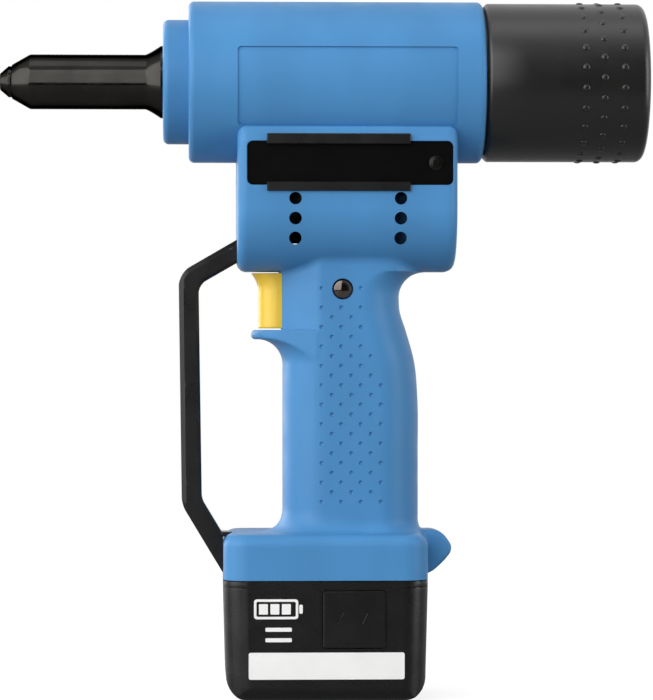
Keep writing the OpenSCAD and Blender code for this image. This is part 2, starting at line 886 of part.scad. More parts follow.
// Domed head of the grip bolt, standing out along +Y from its seat
module bolt_head() {
    rise = bolt_head_t - bolt_rim_t;
    dome_r = (bolt_head_r * bolt_head_r + rise * rise) / (2 * rise);
    translate([bolt_x, bolt_seat, bolt_z]) rotate([-90, 0, 0]) intersection() {
        cylinder(h = bolt_head_t + over, r = bolt_head_r);
        translate([0, 0, bolt_head_t - dome_r]) sphere(dome_r);
    }
}

module grip_bolt() {
    color("#c9ccd0") {
        mirror([0, 1, 0]) bolt_head();
        rod_y(bolt_x, bolt_z, -bolt_seat - bolt_rim_t / 2, -bolt_split, bolt_r);
        rod_y(bolt_x, bolt_z, -bolt_split - over, bolt_end, bolt_thread_r);
    }
}

module grip_bolt_nut() {
    color("#c9ccd0") {
        bolt_head();
        difference() {
            rod_y(bolt_x, bolt_z, -bolt_split + seat_gap, bolt_seat + bolt_rim_t / 2, bolt_r);
            rod_y(bolt_x, bolt_z, -bolt_split - over, bolt_end + over, bolt_thread_r + fit_gap);
        }
    }
}

module knuckle_guard() {
    foot_x = -pack_len / 2;
    top_run = guard_top_front - box_front;
    top_in_run = top_run - guard_t;
    low_run = guard_low_front - pack_len / 2;
    low_in_run = low_run - guard_t;
    low_rise = 1 / tan(guard_low_angle);
    low_z = guard_foot_z;
    in_z = low_z + guard_low_h;
    side = guard_w / 2 - guard_tenon_inset;
    root_z0 = guard_root_z + guard_tenon_inset;
    root_z1 = guard_root_z + guard_root_h - guard_tenon_inset;
    head_x = -box_front + shell_wall;
    tenon_z = low_z + guard_low_tenon_z;
    tongue_z = foot_top - guard_tongue_t;
    color("#1d1d1f") {
        along_y(guard_w) polygon([
            [-box_front, guard_root_z + guard_root_h],
            [-guard_top_front, guard_root_z + guard_root_h - top_run * tan(guard_top_angle)],
            [-guard_low_front, low_z + low_run * low_rise],
            [foot_x, low_z],
            [foot_x, in_z],
            [-guard_low_front + guard_t, in_z + low_in_run * low_rise],
            [-guard_top_front + guard_t, guard_root_z - top_in_run * tan(guard_top_angle)],
            [-box_front, guard_root_z]
        ]);
        block([-box_front - over, -side, root_z0], [head_x + guard_head_t, side, root_z1]);
        block([head_x, -guard_head_w / 2, root_z0 + guard_tenon_inset],
            [head_x + guard_head_t - guard_tenon_inset, guard_head_w / 2, root_z1 - guard_tenon_inset]);
        block([foot_x - over, -guard_low_tenon_w / 2, tenon_z],
            [foot_x + shell_wall + guard_head_t, guard_low_tenon_w / 2, tenon_z + guard_low_tenon_h]);
        block([foot_x + shell_wall, -guard_low_head_w / 2, tenon_z + guard_tenon_inset],
            [foot_x + shell_wall + guard_head_t - guard_tenon_inset, guard_low_head_w / 2,
                tenon_z + guard_low_tenon_h - guard_tenon_inset]);
        block([foot_x - over, -side, tongue_z + seat_gap], [foot_x + guard_tongue_len, side, foot_top]);
    }
}

module head_sleeve() {
    color("#101012") turned([
        [sleeve_bore_r, sleeve_bore_x], [nose_shank_r + fit_gap, sleeve_bore_x],
        [nose_shank_r + fit_gap, sleeve_front_x], [cone_r, sleeve_front_x],
        [sleeve_r, sleeve_front_x + cone_len], [sleeve_r, collar_x - flare_len],
        [flare_r, collar_x], [shank_r, collar_x], [shank_r, wall_x], [flange_r, wall_x],
        [flange_r, sleeve_rear_x], [sleeve_bore_r, sleeve_rear_x]
    ]);
}

module nosepiece() {
    hex_x = sleeve_front_x - nose_hex_len;
    color("#26262a") difference() {
        union() {
            translate([hex_x, 0, axis_z]) rotate([0, 90, 0]) cylinder(h = nose_hex_len, r = cone_r, $fn = 6);
            turned([
                [0, nose_x], [nose_tip_r, nose_x], [cone_r * cos(30), hex_x + nose_hex_len / 2],
                [nose_shank_r, hex_x + nose_hex_len / 2],
                [nose_shank_r, sleeve_bore_x - nose_shank_gap], [0, sleeve_bore_x - nose_shank_gap]
            ]);
        }
        rod_x(nose_x - over, sleeve_bore_x, mandrel_r, axis_z);
    }
}

// Tube that carries the pull between head and gear frame, slotted for the guide pins
module thrust_tube() {
    pin_x = spindle_x0 + guide_pin_gap;
    half_slot = guide_pin_r + run_gap;
    color("#a9adb3") difference() {
        rod_x(sleeve_rear_x, front_plate_x0, thrust_tube_r, axis_z);
        rod_x(sleeve_rear_x - over, front_plate_x0 + over, thrust_tube_r - thrust_tube_wall, axis_z);
        block([pin_x - guide_pin_r - guide_slot_end, -thrust_tube_r - over, axis_z - half_slot],
            [pin_x + stroke + guide_pin_r + guide_slot_end, thrust_tube_r + over, axis_z + half_slot]);
    }
}

// Outline of a gear frame plate in Y and Z, down to a height
module plate_outline(low_z) {
    translate([0, axis_z]) circle(barrel_in_r - seat_gap);
    translate([-tongue_half_w, low_z]) square([2 * tongue_half_w, box_top - shell_wall - seat_gap - low_z]);
}

module gear_frame_front() {
    x0 = front_plate_x0;
    x1 = front_plate_x1;
    color("#9ea2a8") difference() {
        along_x(x0, x1) plate_outline(motor_z - motor_r);
        rod_x(x0 - over, x1 + over, hub_r + slide_gap, axis_z);
        rod_x(x0 - over, x1 + over, shaft_r + fit_gap, idler_z);
        rod_x(x0 - over, x1 + over, 2 * shaft_r, motor_z);
        both_sides() translate([0, motor_screw_y, 0])
            rod_x(x0 - over, x1 + over, motor_screw_r + fit_gap, motor_z);
    }
}

module gear_frame_rear() {
    x0 = rear_plate_x0;
    x1 = rear_plate_x1;
    color("#9ea2a8") difference() {
        along_x(x0, x1) plate_outline(idler_z - idler_r - post_drop);
        rod_x(x0 - over, x1 + over, bearing_r + fit_gap, axis_z);
        rod_x(x0 - over, x1 + over, shaft_r + fit_gap, idler_z);
    }
}

module frame_posts() {
    color("#8b8f95") both_sides() translate([0, post_y, 0])
        rod_x(front_plate_x1, rear_plate_x0, post_r, idler_z - post_drop);
}

module thrust_bearing() {
    color("#b9bdc2") difference() {
        rod_x(front_plate_x1, front_plate_x1 + thrust_t, thrust_r, axis_z);
        rod_x(front_plate_x1 - over, gear_x + over, hub_r + fit_gap, axis_z);
    }
}

module rear_nut_bearing() {
    color("#b9bdc2") difference() {
        rod_x(rear_plate_x0, rear_plate_x1, bearing_r, axis_z);
        rod_x(rear_plate_x0 - over, rear_plate_x1 + over, hub_r + fit_gap, axis_z);
    }
}

module idler_pin() {
    color("#8b8f95") rod_x(front_plate_x0 + seat_gap, rear_plate_x1, shaft_r, idler_z);
}

module motor_can() {
    color("#6f7378") difference() {
        rod_x(motor_x0, front_plate_x0, motor_r, motor_z);
        rod_x(motor_x0 + can_wall, front_plate_x0 - can_wall, motor_r - can_wall, motor_z);
        rod_x(motor_x0 - over, front_plate_x0 + over, shaft_r + fit_gap, motor_z);
        both_sides() translate([0, motor_screw_y, 0])
            rod_x(front_plate_x0 - can_wall - over, front_plate_x0 + over, motor_screw_r + fit_gap, motor_z);
    }
}

module motor_magnets() {
    out_r = motor_r - can_wall - fit_gap;
    x0 = motor_x0 + can_wall + magnet_end;
    x1 = front_plate_x0 - can_wall - magnet_end;
    color("#4a4c50") for (turn = [0, 180])
        turned_part([[out_r - magnet_t, x0], [out_r, x0], [out_r, x1], [out_r - magnet_t, x1]],
            magnet_angle, turn, motor_z);
}

module motor_screws() {
    color("#8d8f93") both_sides() translate([0, motor_screw_y, 0]) {
        rod_x(front_plate_x1, front_plate_x1 + motor_screw_head_t, motor_screw_head_r, motor_z);
        rod_x(front_plate_x0 - can_wall, front_plate_x1 + motor_screw_head_t / 2, motor_screw_r, motor_z);
    }
}

module mandrel_tube() {
    x0 = adapter_x0 - stroke - tube_front_gap;
    x1 = adapter_x1 + tube_back;
    color("#b4b8bd") difference() {
        rod_x(x0, x1, tube_r, axis_z);
        rod_x(x0 - over, x1 + over, tube_bore_r, axis_z);
    }
}

module container_adapter() {
    groove_r = seal_ring_r - seal_r - run_gap;
    groove_half = seal_r + seal_gap;
    plate_r = barrel_in_r + seat_depth - seat_gap;
    color("#3a3c40") {
        turned([
            [tube_r + fit_gap, adapter_x0], [plate_r, adapter_x0], [plate_r, adapter_x1],
            [neck_r, adapter_x1], [neck_r, barrel_rear], [spigot_bore_r, barrel_rear],
            [spigot_bore_r, adapter_x1], [tube_r + fit_gap, adapter_x1]
        ]);
        turned([
            [spigot_bore_r, barrel_rear], [spigot_r, barrel_rear],
            [spigot_r, seal_x - groove_half], [groove_r, seal_x - groove_half],
            [groove_r, seal_x + groove_half], [spigot_r, seal_x + groove_half],
            [spigot_r, spigot_x1], [spigot_bore_r, spigot_x1]
        ]);
    }
}

module trigger_switch() {
    color("#2b2d31") difference() {
        block([switch_x0, -switch_half_w, switch_z0],
            [switch_x0 + switch_len, switch_half_w, switch_z0 + switch_h]);
        rod_x(switch_x0 - over, switch_x0 + plunger_hole_len, plunger_r + slide_gap, plunger_z);
    }
}

module control_board() {
    color("#2f6b3c") {
        block([board_x - board_len / 2, -board_t / 2, board_z - board_h / 2],
            [board_x + board_len / 2, board_t / 2, board_z + board_h / 2]);
        for (s = board_part_shares)
            translate([board_x + s[0] * board_len, board_t / 2 - board_part_t, board_z + s[1] * board_h])
                block([0, 0, 0], [s[2] * board_len, board_part_t, s[3] * board_h]);
    }
}

module terminal_block() {
    color("#2b2d31") block([block_x - block_len / 2, -block_half_w, block_z0],
        [block_x + block_len / 2, block_half_w, block_z0 + block_h]);
}

// A block at each contact pin, from its half length along X, half width and two heights
module at_pins(half_t, half_w, z0, z1) {
    for (i = [-1:1]) translate([block_x + i * pin_pitch, 0, 0])
        block([-half_t, -half_w, z0], [half_t, half_w, z1]);
}

module contact_pins() {
    color("#c8a24a") at_pins(pin_t / 2, pin_w / 2, block_z0 - pin_len, block_z0);
}

module motor_leads() {
    z0 = switch_z0 + switch_h;
    color("#b03a2e") both_sides() translate([motor_lead_x, motor_lead_y, z0])
        cylinder(h = motor_z - motor_r + slide_gap - z0, r = lead_r);
}

module power_leads() {
    z0 = block_z0 + block_h;
    color("#b03a2e") both_sides() translate([board_x, power_lead_y, z0])
        cylinder(h = switch_z0 - z0, r = lead_r);
}

module armature() {
    core_r = motor_r - can_wall - fit_gap - magnet_t - air_gap;
    x0 = motor_x0 + can_wall + magnet_end;
    x1 = front_plate_x0 - can_wall - magnet_end;
    color("#8a4f2a") {
        rod_x(x0, x1, core_r, motor_z);
        rod_x(motor_x0 + seat_gap, gear_x + gear_w, shaft_r, motor_z);
    }
}

// Gear between the frame plates, with a bore
module spur_gear(teeth, phase, bore_r, z) {
    difference() {
        translate([0, 0, z]) along_x(gear_x, gear_x + gear_w) polygon(gear_outline(teeth, phase));
        rod_x(gear_x - over, gear_x + gear_w + over, bore_r, z);
    }
}

module motor_pinion() {
    color("#9a9ea4") spur_gear(pinion_teeth, 90 + 180 / pinion_teeth, shaft_r + fit_gap, motor_z);
}

module idler_gear() {
    color("#9a9ea4") spur_gear(idler_teeth, 90, shaft_r + fit_gap, idler_z);
}

module drive_gear() {
    color("#9a9ea4") spur_gear(gear_teeth, 90 + 180 / gear_teeth, hub_r + fit_gap, axis_z);
}

module ball_nut() {
    color("#b7bbc0") difference() {
        rod_x(front_plate_x0 + plate_gap, rear_plate_x1 + plate_gap, hub_r, axis_z);
        rod_x(front_plate_x0 - over, rear_plate_x1 + 2 * over, spindle_r + fit_gap, axis_z);
    }
}

module pull_spindle() {
    pin_x = spindle_x0 + guide_pin_gap;
    hole_y = (spindle_r + spindle_bore_r) / 2;
    color("#c2c6cb") difference() {
        union() {
            rod_x(drawbar_x0, spindle_x0 + over, drawbar_r, axis_z);
            rod_x(spindle_x0, spindle_x1, spindle_r, axis_z);
        }
        rod_x(drawbar_x0 - over, spindle_x1 + over, spindle_bore_r, axis_z);
        both_sides() rod_y(pin_x, axis_z, hole_y, spindle_r + over, guide_pin_r + fit_gap);
    }
}

module guide_pins() {
    color("#8b8f95") both_sides() rod_y(spindle_x0 + guide_pin_gap, axis_z,
        (spindle_r + spindle_bore_r) / 2, thrust_tube_r - seat_gap, guide_pin_r);
}

module jaw_housing() {
    color("#9ea2a8") turned([
        [jaw_mouth_r, jaw_x0], [jaw_r, jaw_x0], [jaw_r, jaw_x1], [jaw_bore_r, jaw_x1],
        [jaw_bore_r, jaw_cone_x], [jaw_mouth_r, jaw_x0 + jaw_lip_t]
    ]);
}

module gripping_jaws() {
    slant = (jaw_bore_r - jaw_mouth_r) / jaw_cone_len;
    back_r = jaw_bore_r - seat_gap;
    front_r = back_r - slant * (jaw_cone_len - jaw_front_gap);
    front_x = jaw_cone_x - jaw_cone_len + jaw_front_gap;
    color("#6a6d72") for (turn = [0, 120, 240])
        turned_part([
            [jaw_hole_r, front_x], [front_r, front_x], [back_r, jaw_cone_x], [jaw_hole_r, jaw_cone_x]
        ], jaw_angle, turn, axis_z);
}

module jaw_pusher() {
    color("#85898f") difference() {
        rod_x(jaw_cone_x, jaw_cone_x + pusher_len, jaw_bore_r - seat_gap, axis_z);
        rod_x(jaw_cone_x - over, jaw_cone_x + pusher_len + over, jaw_hole_r, axis_z);
    }
}

module jaw_spring() {
    x0 = jaw_cone_x + pusher_len;
    coil_r = jaw_bore_r - seat_gap - 2 * jaw_spring_wire_r;
    color("#aeb2b8") translate([x0, 0, axis_z]) rotate([0, 90, 0])
        coil(coil_r, jaw_spring_wire_r, drawbar_x0 - x0, 4);
}

module trigger() {
    top_x = -grip_front - trigger_out - trigger_flare;
    face_x = -grip_front - trigger_out;
    nose_x0 = top_x + trigger_half_w;
    flange_x = -grip_front + shell_wall + slide_gap;
    color("#f2cf3b") {
        intersection() {
            along_y(trigger_w) polygon([
                [trigger_x1, trigger_z0], [face_x, trigger_z0],
                [face_x, trigger_z0 + trigger_shares[0] * trigger_h],
                [(face_x + top_x) / 2, trigger_z0 + trigger_shares[1] * trigger_h],
                [top_x, trigger_z1], [trigger_x1, trigger_z1]
            ]);
            translate([0, 0, trigger_z0 - over]) linear_extrude(trigger_h + 2 * over)
                polygon(concat([[trigger_x1 + over, -trigger_half_w]], [[trigger_x1 + over, trigger_half_w]],
                    arc(nose_x0, 0, trigger_half_w, 90, 180), arc(nose_x0, 0, trigger_half_w, 180, 270)));
        }
        block([flange_x, -trigger_flange_w / 2, trigger_z0 + trigger_gap],
            [flange_x + trigger_flange_t, trigger_flange_w / 2, trigger_z1 - trigger_gap]);
    }
}

module switch_plunger() {
    color("#d8d8d4") rod_x(trigger_x1, trigger_x1 + plunger_len, plunger_r, plunger_z);
}

module trigger_spring() {
    color("#aeb2b8") translate([trigger_x1, 0, plunger_z]) rotate([0, 90, 0])
        coil(trigger_spring_r, trigger_spring_wire_r, switch_gap, 4);
}

module container_seal_ring() {
    color("#141416") translate([seal_x, 0, axis_z]) rotate([0, 90, 0]) rotate_extrude()
        translate([seal_ring_r, 0]) circle(seal_r);
}

// Cup for spent mandrels, open to the front, with a rounded rear edge
module mandrel_container() {
    x1 = container_x0 + container_len;
    rear_edge = arc(x1 - container_round, container_r - container_round, container_round, 90, 0);
    color("#1a1a1c") turned(concat(
        [[container_in_r, container_x0], [container_r - container_edge, container_x0]],
        [[container_r, container_x0 + container_edge]],
        [for (p = rear_edge) [p[1], p[0]]],
        [[0, x1], [0, x1 - container_wall], [container_in_r, x1 - container_wall]]
    ));
}

// Outside of the pack set in by a wall, between two heights
module pack_form(inset, z0, z1) {
    len_in = pack_len - 2 * inset;
    w_in = pack_w - 2 * inset;
    top = pack_h + foot_h;
    edge_r = max(pack_edge_r - inset, inset);
    side_r = max(pack_side_r - inset, inset);
    intersection() {
        translate([0, 0, z0]) linear_extrude(z1 - z0)
            polygon(round_rect(len_in, w_in, pack_corner_r - inset));
        along_y(pack_w + over) polygon(belly(len_in / 2, inset, top, edge_r));
        along_x(-pack_len, pack_len) polygon(belly(w_in / 2, inset, top, side_r));
    }
}

// Places of the pack's four screws
module pack_corners() {
    for (x = [-1, 1], y = [-1, 1])
        translate([x * (pack_len / 2 - pack_post_inset), y * (pack_w / 2 - pack_post_inset), 0]) children();
}

module battery_tub() {
    head_z = pack_screw_sink + pack_screw_head_t;
    half_len = button_len / 2 + button_gap;
    half_h = button_h / 2 + button_gap;
    color("#1b1b1d") difference() {
        union() {
            difference() {
                pack_form(0, 0, lid_z);
                pack_form(pack_wall, 0, lid_z + over);
            }
            pack_corners() translate([0, 0, pack_wall / 2])
                cylinder(h = lid_z - pack_wall / 2, r = pack_post_r);
        }
        pack_corners() {
            translate([0, 0, -over]) cylinder(h = head_z + over, r = pack_screw_head_r + seat_gap);
            cylinder(h = lid_z + over, r = pack_screw_r + fit_gap);
        }
        both_sides() block([button_x - half_len, pack_w / 2 - pack_wall - over, button_z - half_h],
            [button_x + half_len, pack_w / 2 + over, button_z + half_h]);
        cell_room();
    }
}

// Room for the cells with the links on their ends
module cell_room() {
    half_len = cell_len / 2 + link_t + run_gap;
    half_w = cell_pitch / 2 + cell_r + run_gap;
    block([-half_len, -half_w, cell_z0 - cell_r - run_gap],
        [half_len, half_w, cell_z0 + cell_pitch + cell_r + run_gap]);
}

module battery_lid() {
    half_len = tower_len / 2;
    half_w = tower_w / 2;
    color("#202022") difference() {
        union() {
            pack_form(0, lid_z, pack_top);
            block([-half_len, -half_w, lid_z + lid_t / 2], [half_len, half_w, tower_top]);
        }
        block([tower_wall - half_len, tower_wall - half_w, lid_z - over],
            [half_len - tower_wall, half_w - tower_wall, tower_top - tower_wall]);
        at_pins(pin_t / 2 + pin_slot_gap, pin_w / 2 + pin_slot_gap, lid_z, tower_top + over);
        pack_corners() translate([0, 0, lid_z - over]) cylinder(h = pack_screw_bite + over + fit_gap,
            r = pack_screw_r + fit_gap);
    }
}

module battery_cells() {
    color("#3f7fb0") for (y = [-1, 1], i = [0, 1])
        translate([0, y * cell_pitch / 2, 0])
            rod_x(-cell_len / 2, cell_len / 2, cell_r, cell_z0 + i * cell_pitch);
}

module cell_holder() {
    in_half = holder_half_w - holder_wall;
    color("#d9d9d2") difference() {
        block([-holder_len / 2, -holder_half_w, holder_z],
            [holder_len / 2, holder_half_w, holder_z + holder_h]);
        block([-holder_len / 2 - over, -in_half, holder_z + holder_wall],
            [holder_len / 2 + over, in_half, holder_z + holder_h - holder_wall]);
    }
}

module cell_links() {
    half_w = link_w_share * cell_r;
    color("#c0c2c4") for (x = [-1, 1], y = [-1, 1])
        translate([x * (cell_len + link_t) / 2, y * cell_pitch / 2, cell_z0])
            block([-link_t / 2, -half_w, -half_w], [link_t / 2, half_w, half_w + cell_pitch]);
}

module battery_terminals() {
    top = tower_top - tower_wall;
    color("#c8a24a") difference() {
        at_pins(clip_t / 2, pin_w / 2, top - clip_h, top);
        at_pins(pin_t / 2 + clip_slot_gap, pin_w, top - clip_h + clip_floor, top + over);
    }
}

module battery_screws() {
    color("#8d8f93") pack_corners() {
        translate([0, 0, pack_screw_sink]) cylinder(h = pack_screw_head_t, r = pack_screw_head_r);
        translate([0, 0, pack_screw_sink + pack_screw_head_t / 2])
            cylinder(h = lid_z + pack_screw_bite - pack_screw_sink - pack_screw_head_t / 2, r = pack_screw_r);
    }
}

module battery_label() {
    color("#f4f4f2") block([-label_len / 2, -pack_w / 2 - label_t, label_z - label_h / 2],
        [label_len / 2, -pack_w / 2, label_z + label_h / 2]);
}

// Release button drawn for the +Y side
module battery_button() {
    face = pack_w / 2;
    inner = face - pack_wall - slide_gap;
    flange_y = inner - button_flange_t;
    half_len = button_len / 2;
    half_h = button_h / 2;
    color("#222224") {
        block([button_x - half_len, inner - button_flange_t / 2, button_z - half_h],
            [button_x + half_len, face, button_z + half_h]);
        block([button_x - half_len - button_flange, flange_y, button_z - half_h - button_flange],
            [button_x + half_len + button_flange, inner, button_z + half_h + button_flange]);
        rod_y(button_x, button_z, holder_half_w + button_travel + run_gap, inner, button_stop_r);
    }
}

module battery_button_left() {
    mirror([0, 1, 0]) battery_button();
}

module battery_button_right() {
    battery_button();
}

// Spring between the cell holder and a release button, drawn for the +Y side
module button_spring() {
    length = pack_w / 2 - pack_wall - slide_gap - button_flange_t - holder_half_w;
    color("#aeb2b8") translate([button_x, holder_half_w, button_z]) rotate([-90, 0, 0])
        coil(button_spring_r, button_spring_wire_r, length, 3);
}

module button_spring_left() {
    mirror([0, 1, 0]) button_spring();
}

module button_spring_right() {
    button_spring();
}

housing_left();
housing_right();
side_rail_left();
side_rail_right();
rail_screws();
housing_screws();
grip_bolt();
grip_bolt_nut();
knuckle_guard();
head_sleeve();
nosepiece();
thrust_tube();
gear_frame_front();
gear_frame_rear();
frame_posts();
thrust_bearing();
rear_nut_bearing();
idler_pin();
motor_can();
motor_magnets();
motor_screws();
mandrel_tube();
container_adapter();
trigger_switch();
control_board();
terminal_block();
contact_pins();
motor_leads();
power_leads();
armature();
motor_pinion();
idler_gear();
ball_nut();
drive_gear();
pull_spindle();
guide_pins();
jaw_housing();
gripping_jaws();
jaw_pusher();
jaw_spring();
trigger();
switch_plunger();
trigger_spring();
container_seal_ring();
mandrel_container();
battery_tub();
battery_lid();
battery_cells();
cell_holder();
cell_links();
battery_terminals();
battery_screws();
battery_label();
battery_button_left();
battery_button_right();
button_spring_left();
button_spring_right();
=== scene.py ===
"""Battery rivet tool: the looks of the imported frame, in its own frame and in metres.

Sizes are named in millimetres and become metres when a mesh is made. Moulded pieces are skinned from
distance functions, turned pieces are spun from their profiles, and what repeats is set out by geometry
nodes. Directions: the nose points to -X, +Z is up and the middle plane is Y = 0.
"""
import json
import math

import bmesh
import bpy
import numpy as np
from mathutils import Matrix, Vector


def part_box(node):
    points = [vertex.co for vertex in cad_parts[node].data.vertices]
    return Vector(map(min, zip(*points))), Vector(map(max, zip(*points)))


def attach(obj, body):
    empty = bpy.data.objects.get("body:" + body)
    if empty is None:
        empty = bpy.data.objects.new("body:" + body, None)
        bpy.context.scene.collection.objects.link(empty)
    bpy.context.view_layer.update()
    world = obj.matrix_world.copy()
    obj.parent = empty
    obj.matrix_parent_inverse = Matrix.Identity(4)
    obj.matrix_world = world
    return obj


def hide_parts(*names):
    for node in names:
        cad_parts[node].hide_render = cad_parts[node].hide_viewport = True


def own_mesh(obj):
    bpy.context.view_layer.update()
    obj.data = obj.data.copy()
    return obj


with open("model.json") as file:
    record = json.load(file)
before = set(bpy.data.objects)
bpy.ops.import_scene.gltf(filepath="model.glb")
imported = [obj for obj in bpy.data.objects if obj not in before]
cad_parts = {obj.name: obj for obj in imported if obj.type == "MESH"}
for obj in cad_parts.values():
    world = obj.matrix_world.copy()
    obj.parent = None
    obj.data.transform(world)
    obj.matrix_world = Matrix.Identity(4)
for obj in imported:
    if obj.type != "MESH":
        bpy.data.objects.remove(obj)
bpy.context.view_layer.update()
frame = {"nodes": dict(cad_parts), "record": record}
MM = 0.001
X, Y, Z = range(3)
TURN = 2 * math.pi
SQRT_HALF = math.sqrt(0.5)

# Cutters reach OVER past what they cut, pieces that meet have FIT between them, and skins stay TRIM
# inside the CAD box
OVER = 1.0
FIT = 0.05
TRIM = 0.02
SHARP_ANGLE = math.radians(32)


def span(node):
    """Lowest and highest corner of a CAD node in millimetres."""
    low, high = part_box(node)
    return np.array(low) / MM, np.array(high) / MM


# Places that the frame gives
SHELL_LOW, SHELL_HIGH = span("housing_right")
SLEEVE_LOW, SLEEVE_HIGH = span("head_sleeve")
NOSE_LOW, NOSE_HIGH = span("nosepiece")
CUP_LOW, CUP_HIGH = span("mandrel_container")
ADAPTER_LOW, ADAPTER_HIGH = span("container_adapter")
RAIL_LOW, RAIL_HIGH = span("side_rail_right")
RAIL_MID = (RAIL_LOW + RAIL_HIGH) / 2
TRIGGER_LOW, TRIGGER_HIGH = span("trigger")
TRIGGER_MID = (TRIGGER_LOW + TRIGGER_HIGH) / 2
BOLT_LOW, BOLT_HIGH = span("grip_bolt")
LID_LOW, LID_HIGH = span("battery_lid")
KEY_LOW, KEY_HIGH = span("battery_button_right")
LABEL_LOW, LABEL_HIGH = span("battery_label")
PACK_TOP = span("battery_tub")[1][Z]

# Barrel and collar
AXIS_Z = (SLEEVE_LOW[Z] + SLEEVE_HIGH[Z]) / 2
BARREL_AXIS = (0.0, 0.0, AXIS_Z)
BARREL_R = SHELL_HIGH[Y] - TRIM
BARREL_REAR = SHELL_HIGH[X]
BARREL_MOUTH_R = 29.2
COLLAR_FRONT = SHELL_LOW[X]
COLLAR_LEN = 10.4
BARREL_FRONT = COLLAR_FRONT + COLLAR_LEN
BARREL_EDGE = 2.4
COLLAR_R = 25.4
COLLAR_EDGE = 2.4
ADAPTER_PLATE_T = 4.0
ADAPTER_GAP = 0.2
WALL = 3.0
PARTING = 0.08

# Motor box
BOX_FRONT = -35.7
BOX_REAR = 52.9
BOX_HALF_W = 31.0
BOX_BOTTOM = 173.4
BOX_TOP = 231.6
BELLY_R = 25.0
BOX_EDGE = 4.0
BOX_TOP_EDGE = 1.2
LEDGE_DROP = 6.1
LEDGE_IN = 2.0
HEAD_FILLET = 2.0

# Grip, with its back as pairs of height and depth
GRIP_HALF_W = 20.5
GRIP_NOSE_X = 5.0
GRIP_NOSE_R = 22.0
GRIP_BACK_DEPTH = 16.5
GRIP_CREASE = 1.0
GRIP_CREASE_X = -3.0
GRIP_LOW = 58.0
GRIP_HIGH = 186.0
GRIP_BACK = [
    (58.0, 38.5), (100.0, 38.5), (121.0, 38.4), (137.2, 36.9), (149.5, 33.5), (157.7, 31.0),
    (163.0, 30.7), (186.0, 30.7),
]
GRIP_FLARE_R = 11.0
GRIP_FLARE_SHARE = 0.995
GRIP_ROOM_LOW = (-16.0, -19.0, GRIP_LOW)
GRIP_ROOM_HIGH = (42.0, 19.0, 178.0)
GRIP_ROOM_STEP = 1.6
FACET_X = -17.4
FACET_HALF_W = 9.2
FACET_Z = 147.5
FACET_EDGE = 0.6

# Finger lip
LIP_TOP = 149.6
LIP_UNDER_R = 10.3
LIP_UNDER_Z = 135.5
LIP_PLAN_X = -12.8
LIP_PLAN_R = 17.05
LIP_EDGE = 1.7
LIP_SHARP_EDGE = 0.5
LIP_TIP_X = -28.0
LIP_SHARP_X = -17.0

# Foot, with the socket for the battery's tower, and the tab behind it
FOOT_HALF_LEN = 41.3
FOOT_HALF_W = 31.0
FOOT_CORNER = 10.0
FOOT_TOP = 67.2
FOOT_EDGE = 5.0
FOOT_FLARE = 6.0
FOOT_FRONT_FLARE = 10.0
TOWER_HALF_LEN = 25.0
TOWER_HALF_W = 18.0
SOCKET_GAP = 0.5
SOCKET_WALL = 2.0
TAB_HALF_W = 9.0
TAB_EDGE = 2.0
TAB_FILLET = 1.5
TAB_OUTLINE = [
    (38.0, 68.1), (46.4, 68.1), (51.2, 63.9), (52.4, 60.0), (50.6, 56.6), (42.6, 49.8), (38.0, 49.8),
]
SHELL_STEP = 0.75

# Housing screws as x, z and the reach of their bosses
SCREW_SPOTS = [
    (-40.6, 274.0, 16.5), (-40.6, 228.0, 16.5), (48.0, 274.0, 16.5), (48.0, 228.0, 16.5),
    (41.9, 182.0, 20.0), (-5.0, 75.6, 14.2), (26.5, 75.6, 14.2),
]
SCREW_SEAT = 11.0
SCREW_REACH = 11.0
SCREW_R = 1.5
SCREW_HEAD_R = 3.0
SCREW_HEAD_T = 2.4
SCREW_GAP = 0.2
BOSS_R = 4.8
BOLT_X = (BOLT_LOW[X] + BOLT_HIGH[X]) / 2
BOLT_Z = (BOLT_LOW[Z] + BOLT_HIGH[Z]) / 2
BOLT_R = (BOLT_HIGH[X] - BOLT_LOW[X]) / 2
BOLT_SEAT = 19.0
BOLT_STEM_R = 3.2
BOLT_BOSS_R = 5.5

# Openings and sunk places in the housing
VENT_R = 2.55
VENT_COLUMNS = (-12.5, 29.9)
VENT_ROWS = (186.5, 194.4, 202.4)
VENT_DEPTH = 4 * WALL
WEB_LOW = (24.0, 9.5, 175.0)
WEB_HIGH = (51.0, 11.5, 204.5)
POCKET = (-32.0, 51.0, 207.7, 225.5)
POCKET_CORNER = 2.4
POCKET_FLOOR = 29.0
RECESS = (-35.7, 53.0, 231.9, 263.4)
RECESS_CORNER = 1.5
RECESS_DEPTH = 0.7
MOUTH_X = (-40.0, -8.0)
MOUTH_HALF_W = 8.4
MOUTH_GAP = 0.3
FLANGE_ROOM_X = (-14.0, -2.0)

# Grip dimples, with columns as x, first row and last row
DIMPLE_R = 0.95
DIMPLE_DEPTH = 0.75
DIMPLE_TOP = 166.4
DIMPLE_PITCH = 3.93
DIMPLE_COLUMNS = [
    (-1.7, 0, 22), (2.5, 3, 21), (6.3, 2, 22), (10.4, 3, 21), (14.2, 0, 22), (18.3, 7, 21), (22.3, 10, 22),
]

